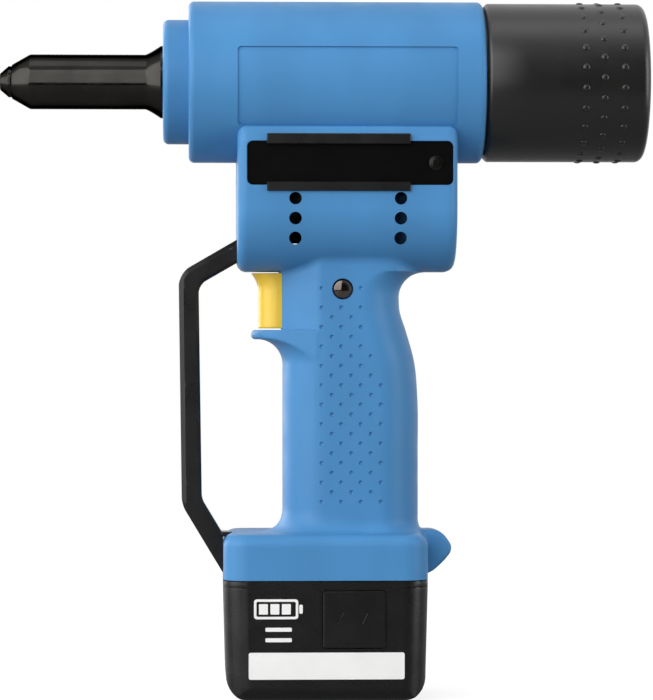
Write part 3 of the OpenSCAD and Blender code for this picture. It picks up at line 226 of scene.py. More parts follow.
# Knuckle guard, with its outlines as x and z from the box to the foot
GUARD_HALF_W = 6.5
GUARD_OUTER = [(-35.7, 186.5), (-59.5, 172.7), (-58.2, 78.3), (-41.3, 50.2)]
GUARD_INNER = [(-35.7, 177.0), (-51.3, 168.0), (-50.0, 80.6), (-41.3, 66.1)]
GUARD_ROUNDS = (4.6, 1.5)
GUARD_INNER_ROUNDS = (3.0, 1.0)
GUARD_BEVEL = 1.9
GUARD_INNER_BEVEL = 1.0
GUARD_MIDDLE_Z = 120.0
GUARD_EDGE = 0.3
GUARD_PEG_LEN = 5.5
GUARD_PEG_HOLE = 4.0
GUARD_PEG_GAP = 0.3
GUARD_SIDE_GAP = 0.2
GUARD_ROOT_START = 0.4
GUARD_ROOT_HALF_W = 6.1
GUARD_ROOT_Z = (177.5, 185.9)
GUARD_TENON_START = 2.0
GUARD_TENON_HALF_W = 4.0
GUARD_TENON_Z = (55.5, 62.3)
GUARD_TONGUE_START = 0.8
GUARD_TONGUE_LEN = 3.4
GUARD_TONGUE_T = 1.9
GUARD_TONGUE_EDGE = 0.4
GUARD_SPACE_LOW = (-60.0, -7.0, 50.0)
GUARD_SPACE_HIGH = (-30.0, 7.0, 187.0)
GUARD_STEP = 0.55


def rounded(a, b, r):
    """Overlap of two distances, with the edge where they meet rounded to a radius."""
    outside = np.hypot(np.maximum(a + r, 0), np.maximum(b + r, 0))
    return np.minimum(np.maximum(a, b) + r, 0) + outside - r


def chamfered(a, b, leg):
    """Overlap of two distances, with the edge where they meet cut off by a leg."""
    return np.maximum(np.maximum(a, b), (a + b + leg) * SQRT_HALF)


def blended(a, b, width):
    """Union of two distances with a hollow fillet where they meet."""
    near = np.maximum(width - np.abs(a - b), 0) / width
    return np.minimum(a, b) - near * near * width / 4


def box_distance(x, y, z, low, high, edge):
    """Distance to a block between two corners with rounded edges."""
    dx, dy, dz = (np.abs(c - (a + b) / 2) - (b - a) / 2 + edge for c, a, b in zip((x, y, z), low, high))
    out = np.sqrt(np.maximum(dx, 0) ** 2 + np.maximum(dy, 0) ** 2 + np.maximum(dz, 0) ** 2)
    return out + np.minimum(np.maximum(np.maximum(dx, dy), dz), 0) - edge


def line_distance(u, v, start, end):
    """Distance to the right-hand side of a line that runs from start to end."""
    du = end[0] - start[0]
    dv = end[1] - start[1]
    return ((v - start[1]) * du - (u - start[0]) * dv) / math.hypot(du, dv)


def outline_distance(u, v, outline, edge):
    """Distance to a convex outline that runs clockwise, with rounded corners."""
    total = None
    for start, end in zip(outline, outline[1:] + outline[:1]):
        side = line_distance(u, v, start, end)
        total = side if total is None else rounded(total, side, edge)
    return total


def curve_through(z, points):
    """Smooth curve through points of height and value, read at heights z."""
    heights = np.array([p[0] for p in points])
    values = np.array([p[1] for p in points])
    slopes = np.gradient(values, heights)
    i = np.clip(np.searchsorted(heights, z) - 1, 0, len(heights) - 2)
    gap = heights[i + 1] - heights[i]
    t = np.clip((z - heights[i]) / gap, 0, 1)
    start = values[i] * (1 + 2 * t) * (1 - t) ** 2 + slopes[i] * gap * t * (1 - t) ** 2
    return start + values[i + 1] * t * t * (3 - 2 * t) + slopes[i + 1] * gap * t * t * (t - 1)


def slope_of(solid, points, reach=0.02):
    """Unit normals of a distance function at points."""
    slope = np.zeros_like(points)
    for corner in np.array([(1, -1, -1), (-1, -1, 1), (-1, 1, -1), (1, 1, 1)]):
        slope += corner[:, None] * solid(*(points + reach * corner[:, None]))
    return slope / np.maximum(np.linalg.norm(slope, axis=0), 1e-12)


def crossings(solid, value, axes, axis, rounds=3):
    """Where grid lines along an axis pierce the surface: cells, points, normals and which lead out."""
    ahead = np.roll(value, -1, axis)
    pierced = (value < 0) != (ahead < 0)
    last = [slice(None)] * 3
    last[axis] = -1
    pierced[tuple(last)] = False
    cells = np.array(np.nonzero(pierced))
    first = value[pierced].astype(float)
    second = ahead[pierced].astype(float)
    points = np.array([axes[i][cells[i]] for i in range(3)], dtype=float)
    base = points[axis].copy()
    step = axes[axis][1] - axes[axis][0]
    lower = np.zeros(len(first))
    upper = np.ones(len(first))
    for _ in range(rounds):
        share = np.clip(lower + (upper - lower) * first / (first - second), 0, 1)
        points[axis] = base + share * step
        middle = solid(*points)
        before = (middle < 0) == (first < 0)
        lower = np.where(before, share, lower)
        first = np.where(before, middle, first)
        upper = np.where(before, upper, share)
        second = np.where(before, second, middle)
    return cells, points, slope_of(solid, points), value[pierced] < 0


def skin(solid, low, high, step, margin=1.5, hold=0.02):
    """Points and four-sided faces of the closed surface of a distance function, sharp edges kept."""
    start = np.array(low, dtype=float) - margin * step
    count = np.ceil((np.array(high) - start) / step).astype(int) + math.ceil(2 * margin)
    axes = [(start[i] + step * np.arange(count[i])).astype(np.float32) for i in range(3)]
    value = np.broadcast_to(solid(*np.meshgrid(*axes, indexing="ij", sparse=True)), count)
    strides = np.array([count[1] * count[2], count[2], 1])
    rows = []
    for axis in range(3):
        cells, points, normals, leads_out = crossings(solid, value, axes, axis)
        one, two = strides[(axis + 1) % 3], strides[(axis + 2) % 3]
        corner = strides @ cells
        ring = np.stack([corner, corner - one, corner - one - two, corner - two], axis=1)
        ring[~leads_out] = ring[~leads_out, ::-1]
        rows.append((ring, points, normals))
    faces = np.concatenate([r[0] for r in rows])
    points = np.repeat(np.concatenate([r[1] for r in rows], axis=1), 4, axis=1)
    normals = np.repeat(np.concatenate([r[2] for r in rows], axis=1), 4, axis=1)
    used, corner_of = np.unique(faces, return_inverse=True)
    corner_of = corner_of.reshape(-1)

    def total(weights):
        return np.bincount(corner_of, weights, len(used))

    hits = total(np.ones(len(corner_of)))
    mean = np.array([total(p) for p in points]) / hits
    reach = (normals * points).sum(axis=0)
    left = np.array([[total(normals[i] * normals[j]) for j in range(3)] for i in range(3)])
    left += hold * hits * np.eye(3)[:, :, None]
    right = np.array([total(n * reach) for n in normals]) + hold * hits * mean
    spot = np.linalg.solve(left.transpose(2, 0, 1), right.T[:, :, None])[:, :, 0]
    cell_low = np.stack([axes[i][used // strides[i] % count[i]] for i in range(3)], axis=1)
    spot = np.clip(spot, cell_low, cell_low + step)
    return spot, corner_of.reshape(-1, 4)


def new_object(name, data):
    """New object at the origin."""
    obj = bpy.data.objects.new(name, data)
    bpy.context.scene.collection.objects.link(obj)
    return obj


def add_mesh(name, points, faces):
    """New mesh object from points in millimetres and faces of equal or mixed counts."""
    mesh = bpy.data.meshes.new(name)
    sizes = [len(f) for f in faces]
    starts = np.concatenate([[0], np.cumsum(sizes)[:-1]])
    corners = np.concatenate([np.asarray(f) for f in faces])
    mesh.vertices.add(len(points))
    mesh.vertices.foreach_set("co", (np.asarray(points, dtype=float) * MM).reshape(-1))
    mesh.loops.add(sum(sizes))
    mesh.loops.foreach_set("vertex_index", corners.astype(np.int32))
    mesh.polygons.add(len(sizes))
    mesh.polygons.foreach_set("loop_start", starts.astype(np.int32))
    mesh.update(calc_edges=True)
    mesh.validate()
    return new_object(name, mesh)


def skinned(name, solid, low, high, step):
    """New mesh object from the skin of a distance function."""
    return add_mesh(name, *skin(solid, low, high, step))


def tidy_mesh(obj, join=True, doubled=0.0005):
    """Merges doubled points and turns all faces outwards."""
    work = bmesh.new()
    work.from_mesh(obj.data)
    if join:
        bmesh.ops.remove_doubles(work, verts=work.verts, dist=doubled * MM)
    bmesh.ops.recalc_face_normals(work, faces=work.faces)
    work.to_mesh(obj.data)
    work.free()
    return obj


def arc(u, v, r, start, end, steps=8):
    """Points of an arc about a centre, from one angle to another in degrees."""
    angles = np.radians(np.linspace(start, end, steps + 1))
    return [(u + r * math.cos(a), v + r * math.sin(a)) for a in angles]


def circle(u, v, r, sides=32):
    """Points of a full circle."""
    return arc(u, v, r, 0, 360, sides)[:-1]


def round_rect(u0, u1, v0, v1, r, steps=6):
    """Rectangle with round corners."""
    return (arc(u1 - r, v1 - r, r, 0, 90, steps) + arc(u0 + r, v1 - r, r, 90, 180, steps)
            + arc(u0 + r, v0 + r, r, 180, 270, steps) + arc(u1 - r, v0 + r, r, 270, 360, steps))


def across(axis):
    """The two other axes, in order."""
    return [i for i in range(3) if i != axis]


def prism(name, outline, axis, start, end):
    """Straight bar along an axis, its outline being in the two other axes in order."""
    count = len(outline)
    points = np.zeros((2 * count, 3))
    points[:count, axis] = start
    points[count:, axis] = end
    points[:, across(axis)] = np.array(list(outline) * 2)
    faces = [list(range(count)), list(range(2 * count - 1, count - 1, -1))]
    for i in range(count):
        j = (i + 1) % count
        faces.append([i, i + count, j + count, j])
    return tidy_mesh(add_mesh(name, points, faces))


def block(low, high):
    """Plain block between two corners, as a cutter."""
    outline = [(low[X], low[Y]), (high[X], low[Y]), (high[X], high[Y]), (low[X], high[Y])]
    return prism("block", outline, Z, low[Z], high[Z])


def spun(name, profile, axis, centre, sides):
    """Solid of revolution from a closed profile of radius and station along an axis through a centre."""
    first, second = across(axis)
    count = len(profile)
    angles = TURN * np.arange(sides) / sides
    points = np.zeros((sides, count, 3))
    points[:, :, axis] = centre[axis] + np.array([p[1] for p in profile])
    radii = np.array([p[0] for p in profile])
    points[:, :, first] = centre[first] + np.outer(np.cos(angles), radii)
    points[:, :, second] = centre[second] + np.outer(np.sin(angles), radii)
    faces = []
    for s in range(sides):
        t = (s + 1) % sides
        for i in range(count):
            j = (i + 1) % count
            if radii[i] > 0 or radii[j] > 0:
                faces.append([s * count + i, s * count + j, t * count + j, t * count + i])
    return tidy_mesh(add_mesh(name, points.reshape(-1, 3), faces))


def stepped_hole(centre, axis, steps, sides):
    """Round cutter along an axis from steps of radius, start and end."""
    profile = [(0.0, steps[0][1])]
    for radius, start, end in steps:
        profile += [(radius, start), (radius, end)]
    profile.append((0.0, steps[-1][2]))
    return spun("hole", profile, axis, centre, sides)


def settle(obj):
    """Turns an object's modifiers into its plain mesh."""
    bpy.context.view_layer.update()
    graph = bpy.context.evaluated_depsgraph_get()
    mesh = bpy.data.meshes.new_from_object(obj.evaluated_get(graph))
    mesh.name = obj.name
    obj.modifiers.clear()
    obj.data = mesh
    return obj


def carve(obj, tool, operation="DIFFERENCE"):
    """Cuts an object with a tool, or joins the two, and uses the tool up."""
    change = obj.modifiers.new("carve", "BOOLEAN")
    change.object = tool
    change.operation = operation
    change.solver = "MANIFOLD"
    settle(obj)
    bpy.data.objects.remove(tool)
    return obj


def gather(name, objs):
    """One object of several that don't touch."""
    work = bmesh.new()
    for obj in objs:
        work.from_mesh(obj.data)
        bpy.data.objects.remove(obj)
    mesh = bpy.data.meshes.new(name)
    work.to_mesh(mesh)
    work.free()
    return new_object(name, mesh)


def mirror_side(obj, side):
    """Mirrors a mesh across the middle plane where the side is -1."""
    if side > 0:
        return obj
    points = np.zeros(3 * len(obj.data.vertices))
    obj.data.vertices.foreach_get("co", points)
    points[Y::3] *= -1
    obj.data.vertices.foreach_set("co", points)
    obj.data.flip_normals()
    return obj


def finish_piece(obj, body, slot, nodes, look=None):
    """Smooth faces with sharp edges kept, a finish, a body to ride on and the nodes that it stands for."""
    mesh = obj.data
    mesh.materials.clear()
    mesh.materials.append(look or LOOKS[slot])
    mesh.polygons.foreach_set("material_index", np.zeros(len(mesh.polygons), dtype=np.int32))
    mesh.shade_smooth()
    mesh.set_sharp_from_angle(angle=SHARP_ANGLE)
    mesh.update()
    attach(obj, body)
    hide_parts(*nodes)


# Layouts of what repeats
def node(tree, kind, sockets=None, **settings):
    """New node with its settings and its inputs, each a value or another node's output."""
    made = tree.nodes.new(kind)
    for key, value in settings.items():
        setattr(made, key, value)
    for key, value in (sockets or {}).items():
        if isinstance(value, bpy.types.NodeSocket):
            tree.links.new(value, made.inputs[key])
        else:
            made.inputs[key].default_value = value
    return made


def node_input(tree, name):
    """Identifier of a tree's named input."""
    return next(i.identifier for i in tree.interface.items_tree
                if i.item_type == "SOCKET" and i.in_out == "INPUT" and i.name == name)


def layout_tree(name, inputs, shape):
    """Tree that sets a shape on each point, turned to the point's outward direction."""
    tree = bpy.data.node_groups.new(name, "GeometryNodeTree")
    kinds = {"Places": "NodeSocketGeometry", **inputs, "Finish": "NodeSocketMaterial"}
    for label, kind in kinds.items():
        tree.interface.new_socket(label, in_out="INPUT", socket_type=kind)
    tree.interface.new_socket("Geometry", in_out="OUTPUT", socket_type="NodeSocketGeometry")
    given = node(tree, "NodeGroupInput")
    outward = node(tree, "GeometryNodeInputNamedAttribute", {"Name": "outward"}, data_type="FLOAT_VECTOR")
    turn = node(tree, "FunctionNodeAlignRotationToVector", {
        "Vector": outward.outputs["Attribute"],
    }, axis="Z")
    copies = node(tree, "GeometryNodeInstanceOnPoints", {
        "Points": given.outputs["Places"],
        "Instance": shape(tree, given),
        "Rotation": turn.outputs["Rotation"],
    })
    real = node(tree, "GeometryNodeRealizeInstances", {"Geometry": copies.outputs["Instances"]})
    done = node(tree, "GeometryNodeSetMaterial", {
        "Geometry": real.outputs["Geometry"],
        "Material": given.outputs["Finish"],
    })
    node(tree, "NodeGroupOutput", {"Geometry": done.outputs["Geometry"]})
    return tree


def set_out(name, places, outward, tree, finish, **sizes):
    """Plain mesh of a layout tree's shape at places in millimetres."""
    mesh = bpy.data.meshes.new(name)
    mesh.from_pydata([tuple(MM * c for c in p) for p in places], [], [])
    mesh.attributes.new("outward", "FLOAT_VECTOR", "POINT")
    mesh.attributes["outward"].data.foreach_set("vector", np.array(outward, dtype=float).reshape(-1))
    obj = new_object(name, mesh)
    layout = obj.modifiers.new("layout", "NODES")
    layout.node_group = tree
    layout[node_input(tree, "Finish")] = finish
    for key, value in sizes.items():
        layout[node_input(tree, key)] = value
    return settle(obj)


def dimple_shape(tree, given):
    """Ball that presses one dimple into the grip."""
    ball = node(tree, "GeometryNodeMeshIcoSphere", {"Radius": given.outputs["Radius"], "Subdivisions": 2})
    return ball.outputs["Mesh"]


def nub_shape(tree, given):
    """Flattened ball that makes one rubbing nub."""
    ball = node(tree, "GeometryNodeMeshUVSphere", {
        "Segments": 16, "Rings": 10, "Radius": given.outputs["Radius"],
    })
    size = node(tree, "ShaderNodeCombineXYZ", {"X": 1.0, "Y": 1.0, "Z": given.outputs["Flatness"]})
    flat = node(tree, "GeometryNodeTransform", {
        "Geometry": ball.outputs["Mesh"], "Scale": size.outputs["Vector"],
    })
    return flat.outputs["Geometry"]


def screw_shape(tree, given):
    """The screw that the object input holds."""
    source = node(tree, "GeometryNodeObjectInfo", {"Object": given.outputs["Screw"]})
    return source.outputs["Geometry"]


# Finishes
def new_finish(name, colour, roughness, **sockets):
    """Material with its shader and its Object coordinates."""
    material = bpy.data.materials.new(name)
    material.use_nodes = True
    tree = material.node_tree
    shader = tree.nodes["Principled BSDF"]
    shader.inputs["Base Color"].default_value = (*colour, 1.0)
    shader.inputs["Roughness"].default_value = roughness
    for key, value in sockets.items():
        shader.inputs[key.replace("_", " ")].default_value = value
    return material, shader, node(tree, "ShaderNodeTexCoord").outputs["Object"]


def feed(shader, socket, source):
    """Links an output to one of a shader's inputs."""
    shader.id_data.links.new(source, shader.inputs[socket])


def grain(place, size, detail=3.0, stretch=None):
    """Noise whose features have a size in millimetres, drawn out where a stretch is given."""
    tree = place.id_data
    if stretch:
        place = node(tree, "ShaderNodeMapping", {"Vector": place, "Scale": stretch}).outputs["Vector"]
    return node(tree, "ShaderNodeTexNoise", {
        "Vector": place, "Scale": 1 / (size * MM), "Detail": detail,
    }).outputs["Fac"]


def bands(place, pitch, distortion, detail, **sockets):
    """Wave along X with a pitch in millimetres. At a scale of 1 its pitch is 0.31 metres."""
    return node(place.id_data, "ShaderNodeTexWave", {
        "Vector": place, "Scale": 0.31 / (pitch * MM), "Distortion": distortion, "Detail": detail, **sockets,
    }, bands_direction="X").outputs["Fac"]


def remap(source, low, high, start=0.35, end=0.65):
    """Spreads a value between two others."""
    return node(source.id_data, "ShaderNodeMapRange", {
        "Value": source, "From Min": start, "From Max": end, "To Min": low, "To Max": high,
    }).outputs["Result"]


def joined(first, second, operation):
    """One output and another output or value, joined by a math operation."""
    return node(first.id_data, "ShaderNodeMath", {0: first, 1: second}, operation=operation).outputs["Value"]


def mix_colour(share, first, second):
    """Mix of two colours or outputs by a share. Inputs 6 and 7 and output 2 are the node's colours."""
    tree = share.id_data
    mix = node(tree, "ShaderNodeMix", data_type="RGBA")
    tree.links.new(share, mix.inputs[0])
    for index, value in ((6, first), (7, second)):
        if isinstance(value, bpy.types.NodeSocket):
            tree.links.new(value, mix.inputs[index])
        else:
            mix.inputs[index].default_value = (*value, 1.0)
    return mix.outputs[2]


def relief(shader, height, depth, under=None):
    """Raises the surface by a height times a depth in millimetres, over another relief if one is given."""
    sockets = {"Height": height, "Distance": depth * MM, "Strength": 1.0}
    if under:
        sockets["Normal"] = under
    normal = node(shader.id_data, "ShaderNodeBump", sockets).outputs["Normal"]
    feed(shader, "Normal", normal)
    return normal


def shade(colour, factor):
    """A colour made lighter or darker."""
    return tuple(min(1.0, c * factor) for c in colour)


def clouded(share, colour, dark, light):
    """A colour that wanders between a darker and a lighter shade of itself."""
    return mix_colour(share, shade(colour, dark), shade(colour, light))


def moulded(name, colour, roughness, erosion=0.28, depth=0.03, rub=1.25, wipe=0.05, **sockets):
    """Moulded plastic: spark-eroded grain, faint flow marks, rubbed edges and hand polish."""
    material, shader, place = new_finish(name, colour, roughness, **sockets)
    flow = remap(grain(place, size=24.0, detail=2.0, stretch=(1.0, 1.0, 0.35)), 0.0, 1.0)
    body = clouded(flow, colour, dark=0.95, light=1.05)
    edge = node(place.id_data, "ShaderNodeNewGeometry").outputs["Pointiness"]
    worn = joined(remap(edge, 0.0, 0.5, start=0.53, end=0.62), remap(grain(place, size=3.0), 0.2, 1.0),
                  "MULTIPLY")
    feed(shader, "Base Color", mix_colour(worn, body, shade(colour, rub)))
    feed(shader, "Roughness", remap(grain(place, size=9.0, detail=4.0), roughness - wipe, roughness + wipe))
    coarse = relief(shader, grain(place, size=6.0, detail=1.0), depth=0.012)
    relief(shader, grain(place, erosion, detail=2.0), depth, coarse)
    return material


def turned(name, colour, roughness, pitch=0.35, depth=0.004, **sockets):
    """Turned metal: fine tool rings along X, with faint stains and wiped patches."""
    material, shader, place = new_finish(name, colour, roughness, Metallic=1.0, **sockets)
    rings = bands(place, pitch, distortion=1.5, detail=2.0, **{"Detail Scale": 0.6})
    stain = remap(grain(place, size=11.0, detail=5.0), 0.0, 1.0)
    feed(shader, "Base Color", clouded(stain, colour, dark=0.86, light=1.1))
    feed(shader, "Roughness", remap(grain(place, size=5.0, detail=4.0), roughness * 0.8, roughness * 1.25))
    relief(shader, rings, depth)
    return material


def plated(name, colour, roughness):
    """Plated steel: cloudy passivation and fine scratches."""
    material, shader, place = new_finish(name, colour, roughness, Metallic=1.0)
    cloud = remap(grain(place, size=2.4, detail=5.0), 0.0, 1.0)
    feed(shader, "Base Color", clouded(cloud, colour, dark=0.82, light=1.12))
    scratch = grain(place, size=0.5, detail=2.0, stretch=(1.0, 6.0, 1.0))
    feed(shader, "Roughness", remap(scratch, roughness * 0.8, roughness * 1.3))
    relief(shader, scratch, depth=0.004)
    return material


def wound(name, colour, roughness, pitch):
    """Wound wire: ridges side by side, with painted shade darkening the grooves between them."""
    material, shader, place = new_finish(name, colour, roughness, Metallic=0.9)
    ridge = bands(place, pitch, distortion=0.6, detail=1.0)
    # The ridge wave darkens the colour between the turns: painted shade in the grooves.
    feed(shader, "Base Color", clouded(ridge, colour, dark=0.35, light=1.0))
    feed(shader, "Roughness", remap(grain(place, size=2.0), 0.25, 0.5))
    relief(shader, ridge, depth=0.15)
    return material


def solder_mask(name, colour, copper):
    """Circuit board: lacquer over tracks that show a little lighter, with glassy gloss."""
    material, shader, place = new_finish(name, colour, roughness=0.3)
    flat = node(place.id_data, "ShaderNodeMapping", {
        "Vector": place, "Rotation": (math.pi / 2, 0.0, 0.0), "Scale": (180.0, 180.0, 180.0),
    })
    tracks = node(place.id_data, "ShaderNodeTexBrick", {
        "Vector": flat.outputs["Vector"],
        "Color1": (0.0, 0.0, 0.0, 1.0),
        "Color2": (0.25, 0.25, 0.25, 1.0),
        "Mortar": (1.0, 1.0, 1.0, 1.0),
        "Mortar Size": 0.06,
    }).outputs["Color"]
    feed(shader, "Base Color", mix_colour(tracks, colour, copper))
    feed(shader, "Roughness", remap(grain(place, size=3.0), 0.22, 0.4))
    relief(shader, tracks, depth=0.04)
    return material


def sintered(name, colour):
    """Sintered magnet: dark, granular and a little porous."""
    material, shader, place = new_finish(name, colour, roughness=0.6, Metallic=0.3)
    pores = node(place.id_data, "ShaderNodeTexVoronoi", {
        "Vector": place, "Scale": 1 / (0.5 * MM),
    }).outputs["Distance"]
    feed(shader, "Base Color", clouded(pores, colour, dark=0.6, light=1.3))
    feed(shader, "Roughness", remap(grain(place, size=1.0), 0.5, 0.7))
    relief(shader, pores, depth=0.05)
    return material


def paper(name, colour):
    """Coated paper: fibres under a satin film and a little handling grey."""
    material, shader, place = new_finish(name, colour, roughness=0.35)
    fibres = grain(place, size=0.7, detail=4.0, stretch=(0.4, 1.0, 1.6))
    handled = remap(grain(place, size=14.0), 0.0, 1.0)
    feed(shader, "Base Color", clouded(handled, colour, dark=0.95, light=1.0))
    feed(shader, "Roughness", remap(fibres, 0.3, 0.45))
    relief(shader, fibres, depth=0.01)
    return material


# Finishes of the slots: name, linear colour, roughness and what else is set
LOOKS = {
    "housing_plastic": moulded("blue_housing_plastic", (0.064, 0.232, 0.482), 0.42, Specular_IOR_Level=0.18),
    "black_plastic": moulded("black_moulded_plastic", (0.0030, 0.0030, 0.0032), 0.26, rub=1.8,
                             Specular_IOR_Level=0.34),
    "black_steel": turned("blackened_steel", (0.0280, 0.0269, 0.0252), 0.14, pitch=0.5, depth=0.0004,
                          Specular_Tint=(0.25, 0.25, 0.25, 1.0)),
    "trigger_plastic": moulded("yellow_trigger_plastic", (0.800, 0.525, 0.038), 0.34, rub=1.05),
    "polished_steel": plated("polished_bolt_steel", (0.110, 0.092, 0.083), 0.08),
    "screw_steel": plated("screw_steel", (0.30, 0.30, 0.31), 0.34),
    "machined_steel": turned("machined_steel", (0.42, 0.43, 0.44), 0.30),
    "spring_steel": plated("spring_wire_steel", (0.38, 0.39, 0.40), 0.28),
    "magnet": sintered("sintered_magnet", (0.070, 0.070, 0.075)),
    "copper_winding": wound("wound_copper", (0.48, 0.20, 0.08), 0.35, pitch=0.6),
    "board": solder_mask("board_lacquer", (0.030, 0.150, 0.050), copper=(0.09, 0.26, 0.09)),
    "brass": plated("contact_brass", (0.60, 0.43, 0.15), 0.28),
    "lead_insulation": moulded("lead_insulation", (0.45, 0.04, 0.03), 0.42, erosion=0.2, depth=0.01,
                               rub=1.05),
    "white_plastic": moulded("natural_white_plastic", (0.70, 0.70, 0.66), 0.45, rub=1.05),
    "seal_rubber": moulded("seal_rubber", (0.010, 0.010, 0.010), 0.62, erosion=0.15, depth=0.02),
    "cell_jacket": moulded("cell_jacket_film", (0.05, 0.22, 0.40), 0.22, erosion=0.9, depth=0.01, rub=1.05),
    "label_white": paper("label_paper", (0.88, 0.88, 0.87)),
}
# Finishes of pieces that look different from their slot
CONTAINER_LOOK = moulded("container_plastic", (0.0036, 0.0033, 0.0031), 0.33, erosion=0.22, depth=0.02,
                         rub=1.6, wipe=0.02, Specular_IOR_Level=0.5)
# The rail's one black plastic comes in two copies: lighter on the lips as painted light, darker on the floor
# as painted shade in the pocket.
RAIL_LIP_LIGHTER_LOOK = moulded("rail_lip_plastic", (0.0055, 0.0055, 0.0058), 0.32, erosion=0.22, depth=0.02, rub=1.8,
                    Specular_IOR_Level=0.30)
RAIL_FLOOR_SHADE_LOOK = moulded("rail_floor_plastic", (0.0015, 0.0015, 0.0016), 0.4, erosion=0.22, depth=0.02,
                          rub=1.3, Specular_IOR_Level=0.06)
GUARD_LOOK = moulded("guard_plastic", (0.0042, 0.0042, 0.0044), 0.32, erosion=0.3, depth=0.02, rub=1.7,
                     Specular_IOR_Level=0.30)
RAIL_SCREW_LOOK = plated("blackened_screw_steel", (0.022, 0.021, 0.020), 0.3)
# The motor can is coloured near black as painted shade, so the vents read dark.
NODE_LOOKS = {"motor_can": turned("phosphated_motor_can", (0.030, 0.031, 0.034), 0.5)}


def dress_frame():
    """Gives every CAD node the finish of its slot, or its own."""
    slot_of = {s["node"]: s["material_slot"] for s in frame["record"]["subparts"]}
    for name, obj in frame["nodes"].items():
        look = NODE_LOOKS.get(name, LOOKS[slot_of[name]])
        if not obj.material_slots:
            obj.data.materials.append(look)
        for place in obj.material_slots:
            place.material = look


# Housing
def grip_back_centre(z):
    """Where the grip's oval back begins at a height, with the round flare under the motor box."""
    climb = np.clip(z - BOX_BOTTOM + GRIP_FLARE_R, 0, GRIP_FLARE_SHARE * GRIP_FLARE_R)
    flare = GRIP_FLARE_R - np.sqrt(GRIP_FLARE_R ** 2 - climb ** 2)
    return curve_through(z, GRIP_BACK) + flare - GRIP_BACK_DEPTH


def grip_distance(x, y, z):
    """Grip: a round front with facets above the lip, flat sides and an oval back that follows its curve."""
    centre = grip_back_centre(z)
    nose = np.hypot(np.minimum(x - GRIP_NOSE_X, 0), y) - GRIP_NOSE_R
    facet = line_distance(x, np.abs(y), (FACET_X, FACET_HALF_W), (GRIP_CREASE_X, GRIP_HALF_W))
    ahead = np.where(z > FACET_Z, rounded(FACET_X - x, facet, FACET_EDGE), nose)
    u = np.maximum(x - centre, 0) / GRIP_BACK_DEPTH
    v = np.abs(y) / GRIP_HALF_W
    near = np.hypot(u, v)
    steep = np.hypot(u / GRIP_BACK_DEPTH, v / GRIP_HALF_W)
    back = near * (near - 1) / np.maximum(steep, 1e-6)
    return rounded(ahead, back, GRIP_CREASE)


def lip_plan_distance(x, y):
    """Finger lip seen from above: a round tip whose sides run straight back to the grip's creases."""
    reach = math.hypot(GRIP_CREASE_X - LIP_PLAN_X, GRIP_HALF_W)
    lean = math.atan2(GRIP_HALF_W, GRIP_CREASE_X - LIP_PLAN_X) + math.acos(LIP_PLAN_R / reach)
    out_x, out_y = math.cos(lean), math.sin(lean)
    side = (x - LIP_PLAN_X) * out_x + y * out_y - LIP_PLAN_R
    behind = (x - LIP_PLAN_X) * out_y - y * out_x > 0
    tip = np.hypot(x - LIP_PLAN_X, y) - LIP_PLAN_R
    return np.maximum(np.where(behind, side, tip), x - GRIP_CREASE_X)


def head_distance(x, y, z):
    """Barrel, collar and motor box on the +Y side."""
    radius = np.hypot(y, z - AXIS_Z)
    barrel_mid = (BARREL_FRONT + BARREL_REAR) / 2
    barrel = rounded(radius - BARREL_R, np.abs(x - barrel_mid) - (BARREL_REAR - barrel_mid), BARREL_EDGE)
    collar = rounded(radius - COLLAR_R, np.abs(x - BARREL_FRONT) - COLLAR_LEN, COLLAR_EDGE)
    belly = rounded(y - BOX_HALF_W, BOX_BOTTOM - z, BELLY_R)
    ledge = line_distance(y, z, (BOX_HALF_W - LEDGE_IN, BOX_TOP), (BOX_HALF_W, BOX_TOP - LEDGE_DROP))
    section = rounded(np.maximum(belly, ledge), z - BOX_TOP, BOX_TOP_EDGE)
    box_mid = (BOX_FRONT + BOX_REAR) / 2
    box = rounded(section, np.abs(x - box_mid) - (BOX_REAR - box_mid), BOX_EDGE)
    return np.minimum(np.minimum(barrel, collar), box)


def half_distance(x, y, z):
    """The half of the housing on the +Y side, up to the parting plane."""
    grip_form = grip_distance(x, y, z)
    grip = np.maximum(grip_form, np.maximum(GRIP_LOW - z, z - GRIP_HIGH))
    plan = rounded(np.abs(x) - FOOT_HALF_LEN, y - FOOT_HALF_W, FOOT_CORNER)
    foot = np.maximum(rounded(plan, z - FOOT_TOP, FOOT_EDGE), SHELL_LOW[Z] - z)
    tab = rounded(outline_distance(x, z, TAB_OUTLINE, TAB_EDGE), y - TAB_HALF_W, TAB_EDGE)
    under = LIP_UNDER_R - np.hypot(np.maximum(LIP_UNDER_R - grip_form, 0), np.maximum(z - LIP_UNDER_Z, 0))
    lip_plan = lip_plan_distance(x, np.abs(y))
    lip_edge = np.interp(x, (LIP_TIP_X, LIP_SHARP_X), (LIP_EDGE, LIP_SHARP_EDGE))
    lip = np.maximum(rounded(lip_plan, np.maximum(under, z - LIP_TOP), lip_edge), LIP_UNDER_Z - z)
    flare = np.interp(x, (GRIP_CREASE_X, GRIP_BACK_DEPTH), (FOOT_FRONT_FLARE, FOOT_FLARE))
    base = blended(blended(grip, foot, flare), tab, TAB_FILLET)
    shell = blended(head_distance(x, y, z), np.minimum(base, lip), HEAD_FILLET)
    return np.maximum(shell, PARTING - y)


